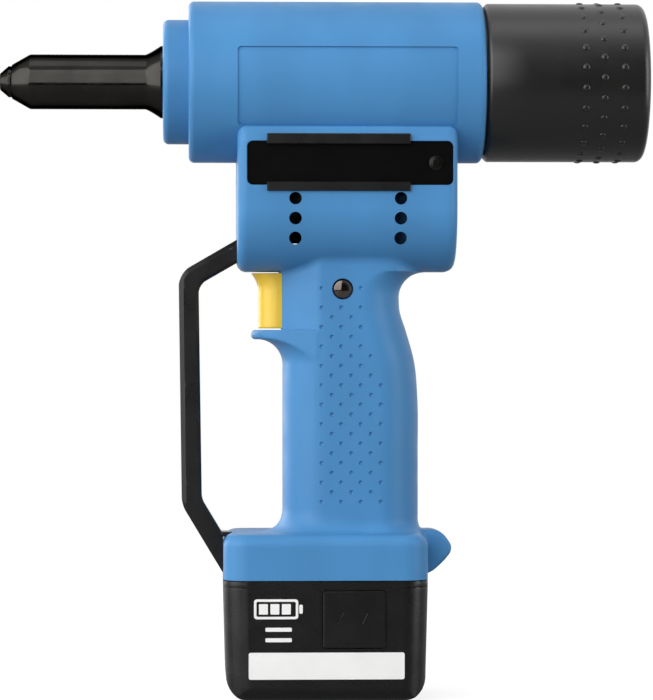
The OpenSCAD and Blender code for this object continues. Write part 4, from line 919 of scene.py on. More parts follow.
def head_room():
    """Room in the barrel and the motor box."""
    neck_r = SLEEVE_NECK_R + FIT
    seat_r = ADAPTER_HIGH[Y] + ADAPTER_GAP
    inner_r = BARREL_R - WALL
    wall_x = BARREL_FRONT + WALL
    plate_x = ADAPTER_LOW[X] + ADAPTER_PLATE_T
    room = stepped_hole(BARREL_AXIS, X, [
        (neck_r, COLLAR_FRONT - OVER, wall_x),
        (inner_r, wall_x, ADAPTER_LOW[X]),
        (seat_r, ADAPTER_LOW[X], plate_x),
        (BARREL_MOUTH_R, plate_x, BARREL_REAR + OVER),
    ], sides=96)
    half = BOX_HALF_W - WALL
    low = BOX_BOTTOM + WALL
    belly_r = BELLY_R - WALL
    belly = [(half, BOX_TOP - WALL), (-half, BOX_TOP - WALL)]
    belly += arc(belly_r - half, low + belly_r, belly_r, 180, 270)
    belly += arc(half - belly_r, low + belly_r, belly_r, 270, 360)
    return carve(room, prism("box_room", belly, X, BOX_FRONT + WALL, BOX_REAR - WALL), "UNION")


def foot_room():
    """Room in the foot around the walls of the battery's socket."""
    top = FOOT_TOP - WALL
    under = SHELL_LOW[Z] - OVER
    inset = FOOT_HALF_LEN - WALL
    side = FOOT_HALF_W - WALL
    room = prism("foot_room", round_rect(-inset, inset, -side, side, FOOT_CORNER - WALL), Z, under, top)
    inside = np.array([TOWER_HALF_LEN + SOCKET_GAP, TOWER_HALF_W + SOCKET_GAP])
    outside = inside + SOCKET_WALL
    carve(room, block((*-outside, under - OVER), (*outside, top + OVER)))
    return gather("foot_and_socket_room", [room, block((*-inside, under), (*inside, top))])


def housing_room():
    """Room inside the housing, less the bosses and the web beside the gears."""

    def grip_room(x, y, z):
        ends = np.maximum(GRIP_LOW - z, z - GRIP_ROOM_HIGH[Z])
        return np.maximum(grip_distance(x, y, z) + WALL, ends)

    room = head_room()
    carve(room, skinned("grip_room", grip_room, GRIP_ROOM_LOW, GRIP_ROOM_HIGH, GRIP_ROOM_STEP), "UNION")
    carve(room, foot_room(), "UNION")
    bosses = [prism("boss", circle(x, z, BOSS_R, sides=24), Y, -reach, reach)
              for x, z, reach in SCREW_SPOTS]
    bosses.append(prism("boss", circle(BOLT_X, BOLT_Z, BOLT_BOSS_R, sides=24), Y, -BOLT_SEAT, BOLT_SEAT))
    carve(room, gather("bosses", bosses))
    carve(room, block(WEB_LOW, WEB_HIGH))
    flange = TRIGGER_HIGH[Y] + MOUTH_GAP
    return carve(room, block((FLANGE_ROOM_X[0], -flange, TRIGGER_LOW[Z] - OVER),
                             (FLANGE_ROOM_X[1], flange, TRIGGER_HIGH[Z] + OVER)), "UNION")


def grip_side(x, z):
    """Half width of the grip at a place on its side."""
    centre = float(grip_back_centre(np.array([z]))[0])
    u = max(x - centre, 0) / GRIP_BACK_DEPTH
    return GRIP_HALF_W * math.sqrt(max(1 - u * u, 0))


def grip_dimples():
    """Balls that press the grip's dimples, set out in staggered columns on the +Y side."""
    ball_r = (DIMPLE_R ** 2 + DIMPLE_DEPTH ** 2) / (2 * DIMPLE_DEPTH)
    places = []
    for x, first, last in DIMPLE_COLUMNS:
        for row in range(first, last + 1, 2):
            z = DIMPLE_TOP - row * DIMPLE_PITCH
            places.append((x, grip_side(x, z) + ball_r - DIMPLE_DEPTH, z))
    tree = layout_tree("grip_dimples", {"Radius": "NodeSocketFloat"}, dimple_shape)
    return set_out("dimples", places, [(0, 1, 0)] * len(places), tree, LOOKS["housing_plastic"],
                   Radius=ball_r * MM)


def guard_slots():
    """Cutters for the slots that the guard's root, tenon and tongue sit in."""
    root = (BOX_FRONT, GUARD_ROOT_HALF_W, GUARD_ROOT_Z)
    tenon = (-FOOT_HALF_LEN, GUARD_TENON_HALF_W, GUARD_TENON_Z)
    slots = []
    for wall_x, half_w, (low, high) in (root, tenon):
        slots.append(block((wall_x - OVER, -OVER, low - GUARD_PEG_GAP),
                           (wall_x + GUARD_PEG_HOLE, half_w + GUARD_SIDE_GAP, high + GUARD_PEG_GAP)))
    slots.append(block((-FOOT_HALF_LEN - OVER, -OVER, FOOT_TOP - GUARD_TONGUE_T - GUARD_SIDE_GAP),
                       (-FOOT_HALF_LEN + GUARD_TONGUE_LEN + GUARD_SIDE_GAP, GUARD_HALF_W, FOOT_TOP + OVER)))
    return slots


def housing_cuts(side):
    """Everything that is cut through or into one half, drawn for the +Y side."""
    far = BARREL_R + 2 * OVER
    cuts = [stepped_hole((BOLT_X, 0.0, BOLT_Z), Y, [
        (BOLT_STEM_R + FIT, -OVER, BOLT_SEAT), (BOLT_R + SCREW_GAP, BOLT_SEAT, far),
    ], sides=32)]
    for x, z, reach in SCREW_SPOTS:
        steps = [(SCREW_R + FIT, -OVER, SCREW_SEAT)]
        if side > 0:
            steps.append((SCREW_HEAD_R + SCREW_GAP, SCREW_SEAT, far))
        cuts.append(stepped_hole((x, 0.0, z), Y, steps, sides=32))
    for x in VENT_COLUMNS:
        cuts += [prism("vent", circle(x, z, VENT_R), Y, BOX_HALF_W - VENT_DEPTH, far) for z in VENT_ROWS]
    cuts.append(prism("pocket", round_rect(*POCKET, POCKET_CORNER), Y, POCKET_FLOOR, far))
    recess = prism("recess", round_rect(*RECESS, RECESS_CORNER), Y, BARREL_R / 2, far)
    core = [(BARREL_R - RECESS_DEPTH, RECESS[0] - OVER, RECESS[1] + OVER)]
    cuts.append(carve(recess, stepped_hole(BARREL_AXIS, X, core, sides=256)))
    cuts.append(block((MOUTH_X[0], -OVER, TRIGGER_LOW[Z] - MOUTH_GAP),
                      (MOUTH_X[1], MOUTH_HALF_W, TRIGGER_HIGH[Z] + MOUTH_GAP)))
    cuts += guard_slots()
    cuts.append(grip_dimples())
    return gather("housing_cuts", cuts)


def housing():
    """The two housing halves, with their own cuts and screw holes."""
    low = (COLLAR_FRONT, PARTING, SHELL_LOW[Z])
    high = (BARREL_REAR, BARREL_R, AXIS_Z + BARREL_R)
    shell = skin(half_distance, low, high, SHELL_STEP)
    for side, name in ((1, "housing_right"), (-1, "housing_left")):
        half = add_mesh(name + "_shell", *shell)
        carve(half, housing_room())
        carve(half, housing_cuts(side))
        mirror_side(half, side)
        finish_piece(half, "housing", "housing_plastic", [name])


# Head sleeve, with the round behind its cone as depth under the tube and way along it
SLEEVE_BORE_R = 8.5
SLEEVE_BORE_LEN = 9.0
SLEEVE_R = 11.2
SLEEVE_TIP_R = 7.1
SLEEVE_TIP_EDGE = (0.3, 0.25)
SLEEVE_CONE_LEN = 7.4
SLEEVE_CONE_ROUND = [(0.25, -0.4), (0.05, 0.2), (0.0, 0.8)]
SLEEVE_FLARE_R = 14.8
SLEEVE_FLARE_LEN = 7.2
SLEEVE_FLARE_BEND = 1.2
SLEEVE_LAND = 1.0
SLEEVE_NECK_R = 12.0
SLEEVE_FLANGE_R = 16.0

# Nosepiece, whose shank sits in the sleeve's tip
NOSE_HEX_LEN = 1.6
NOSE_FLAT = SLEEVE_TIP_R * math.cos(math.pi / 6)
NOSE_HEX_ROUND_R = 6.35
NOSE_TIP_R = 3.3
NOSE_BORE_R = 1.45
NOSE_SHANK_R = 5.0
NOSE_EDGE = 0.3
NOSE_OVERLAP = 0.6
NOSE_SHANK_OVERLAP = 0.5
NOSE_REACH = 7.4
NOSE_STEP = 0.28


def head_sleeve():
    """Glossy sleeve over the jaws, with its flare against the collar and its cone to the front."""
    front = SLEEVE_LOW[X]
    rear = SLEEVE_HIGH[X]
    bore_x = front + SLEEVE_BORE_LEN
    cone_x = front + SLEEVE_CONE_LEN
    tip_bore_r = NOSE_SHANK_R + FIT
    flare_x = COLLAR_FRONT - SLEEVE_FLARE_LEN
    flange_x = BARREL_FRONT + WALL
    profile = [
        (SLEEVE_BORE_R, bore_x), (tip_bore_r, bore_x), (tip_bore_r, front),
        (SLEEVE_TIP_R - SLEEVE_TIP_EDGE[0], front), (SLEEVE_TIP_R, front + SLEEVE_TIP_EDGE[1]),
    ]
    profile += [(SLEEVE_R - depth, cone_x + along) for depth, along in SLEEVE_CONE_ROUND]
    for t in np.linspace(0, 1, 9):
        swell = (SLEEVE_FLARE_R - SLEEVE_R) * t ** SLEEVE_FLARE_BEND
        profile.append((SLEEVE_R + swell, flare_x + (COLLAR_FRONT - SLEEVE_LAND - flare_x) * t))
    profile += [
        (SLEEVE_FLARE_R, COLLAR_FRONT), (SLEEVE_NECK_R, COLLAR_FRONT), (SLEEVE_NECK_R, flange_x),
        (SLEEVE_FLANGE_R, flange_x), (SLEEVE_FLANGE_R, rear), (SLEEVE_BORE_R, rear),
    ]
    sleeve = spun("head_sleeve_turned", profile, X, BARREL_AXIS, sides=160)
    finish_piece(sleeve, "housing", "black_steel", ["head_sleeve"])


def nosepiece():
    """Screwed nosepiece with a hexagon, a coned tip and the mandrel's bore."""
    front = NOSE_LOW[X] + TRIM
    seat = SLEEVE_LOW[X]
    hex_x = seat - NOSE_HEX_LEN

    def nose(x, y, z):
        radius = np.hypot(y, z - AXIS_Z)
        slant = np.abs(z - AXIS_Z) * math.cos(math.pi / 6) + np.abs(y) / 2
        hexagon = np.maximum(np.maximum(np.abs(y), slant) - NOSE_FLAT, radius - NOSE_HEX_ROUND_R)
        head = rounded(hexagon, np.maximum(hex_x - x, x - seat), NOSE_EDGE)
        run = np.clip((x - front) / (hex_x - front), 0, 1)
        cone = rounded(radius - (NOSE_TIP_R + (NOSE_FLAT - NOSE_TIP_R) * run), front - x, NOSE_EDGE)
        cone = np.maximum(cone, x - hex_x - NOSE_OVERLAP)
        ends = np.maximum(seat - NOSE_SHANK_OVERLAP - x, x - NOSE_HIGH[X])
        shank = np.maximum(radius - NOSE_SHANK_R, ends)
        return np.maximum(np.minimum(np.minimum(head, cone), shank), NOSE_BORE_R - radius)

    low = (NOSE_LOW[X], -NOSE_REACH, AXIS_Z - NOSE_REACH)
    high = (NOSE_HIGH[X], NOSE_REACH, AXIS_Z + NOSE_REACH)
    piece = skinned("nosepiece_hex", nose, low, high, NOSE_STEP)
    finish_piece(piece, "housing", "black_steel", ["nosepiece"])


# Mandrel container
CUP_WALL = 3.1
CUP_EDGE = 1.2
CUP_EDGE_BREAK = 0.2
CUP_EDGE_RUN = 0.3
CUP_ROUND_R = 3.5
CUP_RIM = 6.0
CUP_DISH_DEPTH = 0.6
CUP_DISH_SLOPE = 1.0
NUB_R = 1.45
NUB_RISE = 0.56
NUB_COUNT = 24
NUB_STAGGER = 0.5
NUB_STATIONS = (104.6, 112.1, 120.3)


def mandrel_container():
    """Cup for spent mandrels, with three staggered rings of rubbing nubs."""
    radius = CUP_HIGH[Y]
    front, rear = CUP_LOW[X], CUP_HIGH[X]
    inner_r = radius - CUP_WALL
    rim_r = radius - CUP_ROUND_R - CUP_RIM
    dish_x = rear - CUP_DISH_DEPTH
    profile = [(inner_r, front), (radius - CUP_EDGE, front),
               (radius - CUP_EDGE_BREAK, front + CUP_EDGE - CUP_EDGE_BREAK)]
    wall_x = front + CUP_EDGE + CUP_EDGE_RUN
    profile += [(radius, x) for x in np.linspace(wall_x, rear - CUP_ROUND_R, 5)]
    profile += [(r, x) for x, r in arc(rear - CUP_ROUND_R, radius - CUP_ROUND_R, CUP_ROUND_R, 90, 0)]
    profile += [(rim_r, rear), (rim_r - CUP_DISH_SLOPE, dish_x), (0.0, dish_x), (0.0, rear - CUP_WALL)]
    profile.append((inner_r, rear - CUP_WALL))
    cup = spun("mandrel_container_cup", profile, X, BARREL_AXIS, sides=144)
    places = []
    outward = []
    for ring, x in enumerate(NUB_STATIONS):
        for i in range(NUB_COUNT):
            angle = TURN * (i + NUB_STAGGER * (ring % 2 - 1)) / NUB_COUNT
            out = (0.0, -math.cos(angle), math.sin(angle))
            outward.append(out)
            places.append((x, radius * out[Y], AXIS_Z + radius * out[Z]))
    sizes = {"Radius": NUB_R * MM, "Flatness": NUB_RISE / NUB_R}
    tree = layout_tree("container_nubs", {key: "NodeSocketFloat" for key in sizes}, nub_shape)
    carve(cup, set_out("nubs", places, outward, tree, CONTAINER_LOOK, **sizes), "UNION")
    finish_piece(cup, "container", "black_plastic", ["mandrel_container"], CONTAINER_LOOK)


def knuckle_guard():
    """Bar in front of the fingers, bevelled outside, with its root in the box and its tongue in the foot."""

    def bow(x, z, path, rounds):
        sides = [line_distance(x, z, b, a) for a, b in zip(path, path[1:])]
        return rounded(rounded(sides[1], sides[0], rounds[0]), sides[2], rounds[1])

    def peg(x, y, z, start, end, half_w, heights, edge):
        return box_distance(x, y, z, (start, -half_w, heights[0]), (end, half_w, heights[1]), edge)

    def guard(x, y, z):
        side = np.abs(y) - GUARD_HALF_W
        outer = bow(x, z, GUARD_OUTER, GUARD_ROUNDS)
        inner = -bow(x, z, GUARD_INNER, GUARD_INNER_ROUNDS)
        bar = np.maximum(chamfered(outer, side, GUARD_BEVEL), chamfered(inner, side, GUARD_INNER_BEVEL))
        bar = np.maximum(bar, x - np.where(z > GUARD_MIDDLE_Z, BOX_FRONT - FIT, -FOOT_HALF_LEN - FIT))
        root = peg(x, y, z, BOX_FRONT - GUARD_ROOT_START, BOX_FRONT + GUARD_PEG_LEN,
                   GUARD_ROOT_HALF_W, GUARD_ROOT_Z, GUARD_EDGE)
        tenon = peg(x, y, z, -FOOT_HALF_LEN - GUARD_TENON_START, -FOOT_HALF_LEN + GUARD_PEG_LEN,
                    GUARD_TENON_HALF_W, GUARD_TENON_Z, GUARD_EDGE)
        tongue = peg(x, y, z, -FOOT_HALF_LEN - GUARD_TONGUE_START, -FOOT_HALF_LEN + GUARD_TONGUE_LEN,
                     GUARD_ROOT_HALF_W, (FOOT_TOP - GUARD_TONGUE_T, FOOT_TOP), GUARD_TONGUE_EDGE)
        return np.minimum(np.minimum(bar, root), np.minimum(tenon, tongue))

    piece = skinned("knuckle_guard_bar", guard, GUARD_SPACE_LOW, GUARD_SPACE_HIGH, GUARD_STEP)
    finish_piece(piece, "housing", "black_plastic", ["knuckle_guard"], GUARD_LOOK)


# Trigger
TRIGGER_FACE_X = -26.95
TRIGGER_FLARE_Z = 165.5
TRIGGER_HALF_W = 8.0
TRIGGER_EDGE = 0.4
TRIGGER_FLANGE_X = (-13.7, -11.1)
TRIGGER_FLANGE_EDGE = 0.3
TRIGGER_STEP = 0.4


def trigger():
    """Yellow trigger with a round nose that flares at the top, and the flange that keeps it in."""
    half_h = (TRIGGER_HIGH[Z] - TRIGGER_LOW[Z]) / 2

    def form(x, y, z):
        rise = np.clip((z - TRIGGER_FLARE_Z) / (TRIGGER_HIGH[Z] - TRIGGER_FLARE_Z), 0, 1)
        front = TRIGGER_FACE_X + (TRIGGER_LOW[X] - TRIGGER_FACE_X) * rise * rise
        nose = np.hypot(np.minimum(x - front - TRIGGER_HALF_W, 0), y) - TRIGGER_HALF_W
        body = np.maximum(nose, x - TRIGGER_HIGH[X])
        body = rounded(body, np.abs(z - TRIGGER_MID[Z]) - half_h, TRIGGER_EDGE)
        low = (TRIGGER_FLANGE_X[0], TRIGGER_LOW[Y], TRIGGER_LOW[Z] + TRIGGER_FLANGE_EDGE)
        high = (TRIGGER_FLANGE_X[1], TRIGGER_HIGH[Y], TRIGGER_HIGH[Z] - TRIGGER_FLANGE_EDGE)
        return np.minimum(body, box_distance(x, y, z, low, high, TRIGGER_FLANGE_EDGE))

    piece = skinned("trigger_lever", form, TRIGGER_LOW, TRIGGER_HIGH, TRIGGER_STEP)
    finish_piece(piece, "trigger", "trigger_plastic", ["trigger"])


# Side rails
RAIL_PLATE_T = 1.0
RAIL_GAP = 0.2
RAIL_EDGE = 0.2
RAIL_STEP = 0.5
RAIL_HOLE_GAP = 0.1
RAIL_HOLE_R = SCREW_R + RAIL_HOLE_GAP
RAIL_LIP_X = (-24.0, 33.8)
RAIL_LIP_IN = 1.0
RAIL_LIP_H = 4.1
RAIL_LOW_LIP_H = 3.6
RAIL_LIP_EDGE = 0.45
RAIL_LIP_STEP = 0.4
RAIL_WEB_SINK = 0.05
RAIL_SCREW_X = 44.2


def side_rails():
    """Black inserts in the sides of the motor box, with two lips that an accessory slides under."""
    half_h = (POCKET[3] - POCKET[2]) / 2 - RAIL_GAP
    half_len = RAIL_HIGH[X] - RAIL_MID[X]
    plate_y = POCKET_FLOOR + RAIL_PLATE_T

    def floor(x, y, z):
        up = np.abs(z - RAIL_MID[Z])
        plan = rounded(np.abs(x - RAIL_MID[X]) - half_len, up - half_h, POCKET_CORNER - RAIL_GAP)
        plate = rounded(plan, np.maximum(POCKET_FLOOR - y, y - plate_y), RAIL_EDGE)
        return np.maximum(plate, RAIL_HOLE_R - np.hypot(x - RAIL_SCREW_X, z - RAIL_MID[Z]))

    def lips(x, y, z):
        up = np.abs(z - RAIL_MID[Z])
        inside = half_h - RAIL_LIP_IN
        tall = np.where(z > RAIL_MID[Z], RAIL_LIP_H, RAIL_LOW_LIP_H)
        web = box_distance(x, y, up, (RAIL_LIP_X[0], plate_y - RAIL_WEB_SINK, inside),
                           (RAIL_LIP_X[1], RAIL_HIGH[Y], half_h), RAIL_EDGE)
        lip = box_distance(x, y, up, (RAIL_LIP_X[0], BOX_HALF_W + FIT, inside),
                           (RAIL_LIP_X[1], RAIL_HIGH[Y], inside + tall), RAIL_LIP_EDGE)
        return np.minimum(web, lip)

    low = (RAIL_LOW[X], POCKET_FLOOR, RAIL_LOW[Z])
    plate = skin(floor, low, RAIL_HIGH, RAIL_STEP)
    ridges = skin(lips, low, RAIL_HIGH, RAIL_LIP_STEP)
    for side, name in ((1, "side_rail_right"), (-1, "side_rail_left")):
        # The floor takes the darker copy as painted shade, and the lips take the lighter copy as painted
        # light.
        piece = mirror_side(add_mesh(name + "_floor", *plate), side)
        finish_piece(piece, "housing", "black_plastic", [name], RAIL_FLOOR_SHADE_LOOK)
        piece = mirror_side(add_mesh(name + "_lips", *ridges), side)
        finish_piece(piece, "housing", "black_plastic", [], RAIL_LIP_LIGHTER_LOOK)


# Cross bolt
BOLT_RIM = 0.5
BOLT_DOME_RISE = 1.1
BOLT_CHAMFER = 0.15
BOLT_SPLIT = 8.0
BOLT_THREAD_R = 2.0
BOLT_THREAD_END = 10.0
BOLT_THREAD_CHAMFER = 0.3
BOLT_NUT_GAP = 0.2
BOLT_HOLE_SPARE = 1.0


def grip_bolts():
    """Polished cross bolt and the sleeve nut that meets it from the other side."""
    centre = (BOLT_X, 0.0, BOLT_Z)
    dome_r = (BOLT_R ** 2 + BOLT_DOME_RISE ** 2) / (2 * BOLT_DOME_RISE)
    top = BOLT_SEAT + BOLT_RIM + BOLT_DOME_RISE
    head = [(BOLT_R - BOLT_CHAMFER, BOLT_SEAT), (BOLT_R, BOLT_SEAT + BOLT_CHAMFER)]
    for angle in np.linspace(math.pi / 2, 0, 9):
        r = BOLT_R * math.sin(angle)
        head.append((r, top - dome_r + math.sqrt(dome_r ** 2 - r ** 2)))
    bolt = spun("grip_bolt_dome", head + [
        (0.0, -BOLT_THREAD_END), (BOLT_THREAD_R - BOLT_THREAD_CHAMFER, -BOLT_THREAD_END),
        (BOLT_THREAD_R, BOLT_THREAD_CHAMFER - BOLT_THREAD_END), (BOLT_THREAD_R, BOLT_SPLIT),
        (BOLT_STEM_R, BOLT_SPLIT), (BOLT_STEM_R, BOLT_SEAT),
    ], Y, centre, sides=64)
    finish_piece(mirror_side(bolt, -1), "housing", "polished_steel", ["grip_bolt"])
    deep = BOLT_THREAD_END + BOLT_HOLE_SPARE
    hole_r = BOLT_THREAD_R + FIT
    split = BOLT_NUT_GAP - BOLT_SPLIT
    nut = spun("grip_bolt_nut_dome", head + [
        (0.0, deep), (hole_r, deep), (hole_r, split), (BOLT_STEM_R, split), (BOLT_STEM_R, BOLT_SEAT),
    ], Y, centre, sides=64)
    finish_piece(nut, "housing", "polished_steel", ["grip_bolt_nut"])


# Screws, with sizes as head radius, head height, stem radius and stem length, and shares of the head
SCREW_EDGE = 0.2
SCREW_TIP_IN = 0.3
SCREW_TIP_LEN = 0.4
DOME_SHARE = 0.45
HEX_SHARE = 0.5
HEX_FLOOR_SHARE = 0.4
HOUSING_SCREW = (SCREW_HEAD_R, SCREW_HEAD_T, SCREW_R, SCREW_SEAT + SCREW_REACH)
RAIL_SCREW = (3.0, 0.9, SCREW_R, 5.0)
PACK_SCREW = (2.4, 1.8, 1.4, 44.9)
PACK_SCREW_SEAT = 2.4
PACK_SCREW_SPOTS = [(x, y) for x in (-33.7, 33.7) for y in (-23.4, 23.4)]


def socket_screw(head_r, head_t, stem_r, length):
    """Screw along Z with its seat at zero: a domed head with a hexagon socket above, its stem below."""
    profile = [(head_r - SCREW_EDGE, 0.0), (head_r, SCREW_EDGE)]
    for r in np.linspace(head_r, 0, 7):
        dome = DOME_SHARE * math.cos(r / head_r * math.pi / 2)
        profile.append((r, head_t * (1 - DOME_SHARE + dome)))
    profile += [(0.0, -length), (stem_r - SCREW_TIP_IN, -length), (stem_r, SCREW_TIP_LEN - length),
                (stem_r, 0.0)]
    screw = spun("screw", profile, Z, (0.0, 0.0, 0.0), sides=28)
    hexagon = circle(0, 0, head_r * HEX_SHARE, sides=6)
    return carve(screw, prism("socket", hexagon, Z, head_t * HEX_FLOOR_SHARE, head_t + OVER))


def screw_set(name, places, outward, sizes, body, nodes, look):
    """Screws of one size set out on their seats."""
    tree = layout_tree(name, {"Screw": "NodeSocketObject"}, screw_shape)
    screw = socket_screw(*sizes)
    piece = set_out(name, places, outward, tree, look, Screw=screw)
    bpy.data.objects.remove(screw)
    finish_piece(piece, body, "screw_steel", nodes, look)


def screws():
    """Housing screws on the right side, one screw in each rail, and four under the battery."""
    steel = LOOKS["screw_steel"]
    places = [(x, SCREW_SEAT, z) for x, z, reach in SCREW_SPOTS]
    screw_set("housing_screw_set", places, [(0, 1, 0)] * len(places), HOUSING_SCREW, "housing",
              ["housing_screws"], steel)
    seat = POCKET_FLOOR + RAIL_PLATE_T
    places = [(RAIL_SCREW_X, side * seat, RAIL_MID[Z]) for side in (-1, 1)]
    screw_set("rail_screw_set", places, [(0, -1, 0), (0, 1, 0)], RAIL_SCREW, "housing",
              ["rail_screws"], RAIL_SCREW_LOOK)
    places = [(x, y, PACK_SCREW_SEAT) for x, y in PACK_SCREW_SPOTS]
    screw_set("battery_screw_set", places, [(0, 0, -1)] * len(places), PACK_SCREW, "battery",
              ["battery_screws"], steel)


# Battery tub
PACK_HALF_LEN = FOOT_HALF_LEN
PACK_HALF_W = FOOT_HALF_W
PACK_CORNER = FOOT_CORNER
PACK_DRAFT = 1.2
PACK_END_R = 10.0
PACK_SIDE_R = 6.0
PACK_WALL = 2.4
PACK_EDGE = 0.4
PACK_STEP = 0.75
PACK_POST_R = 3.0
PACK_POST_START = 0.5
PACK_SCREW_GAP = 0.2
PANEL = (-31.2, -4.0, 20.6, 43.8)
PANEL_CORNER = 1.2
PANEL_DEPTH = 0.45

# Release keys
KEY_X = (-1.5, 23.7)
KEY_Z = (21.7, 44.6)
KEY_GAP = 0.3
KEY_CORNER = 1.4
KEY_EDGE = 0.5
KEY_WINDOW_CORNER = 1.6
KEY_FRAME = 0.9
KEY_FRAME_CORNER = 2.4
KEY_FRAME_DEPTH = 0.5
KEY_INNER = PACK_HALF_W - PACK_WALL - KEY_GAP
KEY_CAP_ROOT = 0.6
KEY_FLANGE_T = 1.3
KEY_FLANGE_EDGE = 0.2
KEY_POST_R = 1.8
KEY_STEP = 0.35
MARK_STARTS = (4.4, 14.3)
MARK_Z = 31.9
MARK_RUN = 2.1
MARK_RISE = 4.3
MARK_HALF_W = 0.42
MARK_DEPTH = 0.35

# Battery lid
LID_PLATE_T = 2.5
LID_TOP = PACK_TOP + LID_PLATE_T
TOWER_WALL = 2.0
TOWER_EDGE = 1.0
TOWER_ROOT = 1.0
PIN_X = (1.0, 10.0, 19.0)
PIN_HALF_W = 1.0
PIN_HALF_LEN = 4.5

# Label and battery sign, with plates as x from, x to, z from, z to and their corners
LABEL_CORNER = 0.8
SIGN_PROUD = 0.08
SIGN_RIM = (-29.2, -11.4, 33.4, 41.4, 1.2)
SIGN_HOLE = (-28.2, -12.4, 34.4, 40.4, 0.6)
SIGN_PLATES = [
    (-11.0, -9.6, 35.6, 39.2, 0.5),
    (-27.2, -23.6, 35.3, 39.5, 0.3), (-22.6, -19.0, 35.3, 39.5, 0.3), (-18.0, -14.4, 35.3, 39.5, 0.3),
    (-24.6, -14.0, 28.4, 30.0, 0.4), (-24.6, -14.0, 24.2, 25.8, 0.4),
]
SIGN_STEPS = 4


def tub_cuts():
    """Screw holes, key windows and sunk panels of the tub."""
    head_r, _, stem_r, _ = PACK_SCREW
    steps = [
        (head_r + PACK_SCREW_GAP, -OVER, PACK_SCREW_SEAT), (stem_r + FIT, PACK_SCREW_SEAT, PACK_TOP + OVER),
    ]
    cuts = [stepped_hole((x, y, 0.0), Z, steps, sides=24) for x, y in PACK_SCREW_SPOTS]
    window = round_rect(KEY_X[0] - KEY_GAP, KEY_X[1] + KEY_GAP, KEY_Z[0] - KEY_GAP, KEY_Z[1] + KEY_GAP,
                        KEY_WINDOW_CORNER)
    rim = KEY_GAP + KEY_FRAME
    key_frame = round_rect(KEY_X[0] - rim, KEY_X[1] + rim, KEY_Z[0] - rim, KEY_Z[1] + KEY_FRAME,
                           KEY_FRAME_CORNER)
    panel = round_rect(*PANEL, PANEL_CORNER)
    far = PACK_HALF_W + OVER

    def side_cut(name, outline, side, near, end):
        return prism(name, outline, Y, *sorted((side * near, side * end)))

    for side in (-1, 1):
        opening = side_cut("key_window", window, side, PACK_HALF_W - PACK_WALL - OVER,
                           PACK_HALF_W - KEY_FRAME_DEPTH / 2)
        sunk = side_cut("key_frame", key_frame, side, PACK_HALF_W - KEY_FRAME_DEPTH, far)
        cuts.append(carve(opening, sunk, "UNION"))
        cuts.append(side_cut("panel", panel, side, PACK_HALF_W - PANEL_DEPTH, far))
    return gather("tub_cuts", cuts)


def battery_tub():
    """Lower part of the pack, drawn in to the bottom, with its sunk panels and the windows for the keys."""

    def tub(x, y, z):
        ends = np.abs(x) - PACK_HALF_LEN + PACK_DRAFT * (PACK_TOP - z) / PACK_TOP
        sides = np.abs(y) - PACK_HALF_W
        plan = rounded(ends, sides, PACK_CORNER)
        under = TRIM - z
        low = np.maximum(rounded(ends, under, PACK_END_R), rounded(sides, under, PACK_SIDE_R))
        return np.maximum(rounded(np.maximum(plan, low), z - PACK_TOP, PACK_EDGE), under)

    low = (-PACK_HALF_LEN, -PACK_HALF_W, 0.0)
    piece = skinned("battery_tub_shell", tub, low, (PACK_HALF_LEN, PACK_HALF_W, PACK_TOP), PACK_STEP)
    inset = PACK_HALF_LEN - PACK_WALL - PACK_DRAFT
    side = PACK_HALF_W - PACK_WALL
    outline = round_rect(-inset, inset, -side, side, PACK_CORNER - PACK_WALL)
    hollow = prism("tub_room", outline, Z, PACK_WALL, PACK_TOP + OVER)
    posts = [prism("post", circle(x, y, PACK_POST_R, sides=24), Z, PACK_POST_START, PACK_TOP + 2 * OVER)
             for x, y in PACK_SCREW_SPOTS]
    carve(piece, carve(hollow, gather("posts", posts)))
    carve(piece, tub_cuts())
    finish_piece(piece, "battery", "black_plastic", ["battery_tub"])


def battery_lid():
    """Lid of the pack with the tower that plugs into the foot, slotted for the contact pins."""
    root = PACK_TOP + TOWER_ROOT
    ceiling = LID_HIGH[Z] - TOWER_WALL

    def lid(x, y, z):
        plan = rounded(np.abs(x) - PACK_HALF_LEN, np.abs(y) - PACK_HALF_W, PACK_CORNER)
        plate = rounded(plan, np.maximum(PACK_TOP - z, z - LID_TOP), PACK_EDGE)
        tower = box_distance(x, y, z, (-TOWER_HALF_LEN, -TOWER_HALF_W, root),
                             (TOWER_HALF_LEN, TOWER_HALF_W, LID_HIGH[Z]), TOWER_EDGE)
        return np.minimum(plate, np.maximum(tower, root - z))

    piece = skinned("battery_lid_plate", lid, LID_LOW, LID_HIGH, PACK_STEP)
    length = TOWER_HALF_LEN - TOWER_WALL
    width = TOWER_HALF_W - TOWER_WALL
    carve(piece, block((-length, -width, PACK_TOP - OVER), (length, width, ceiling)))
    slots = [block((x - PIN_HALF_W, -PIN_HALF_LEN, ceiling - OVER),
                   (x + PIN_HALF_W, PIN_HALF_LEN, LID_HIGH[Z] + OVER)) for x in PIN_X]
    carve(piece, gather("pin_slots", slots))
    finish_piece(piece, "battery", "black_plastic", ["battery_lid"])


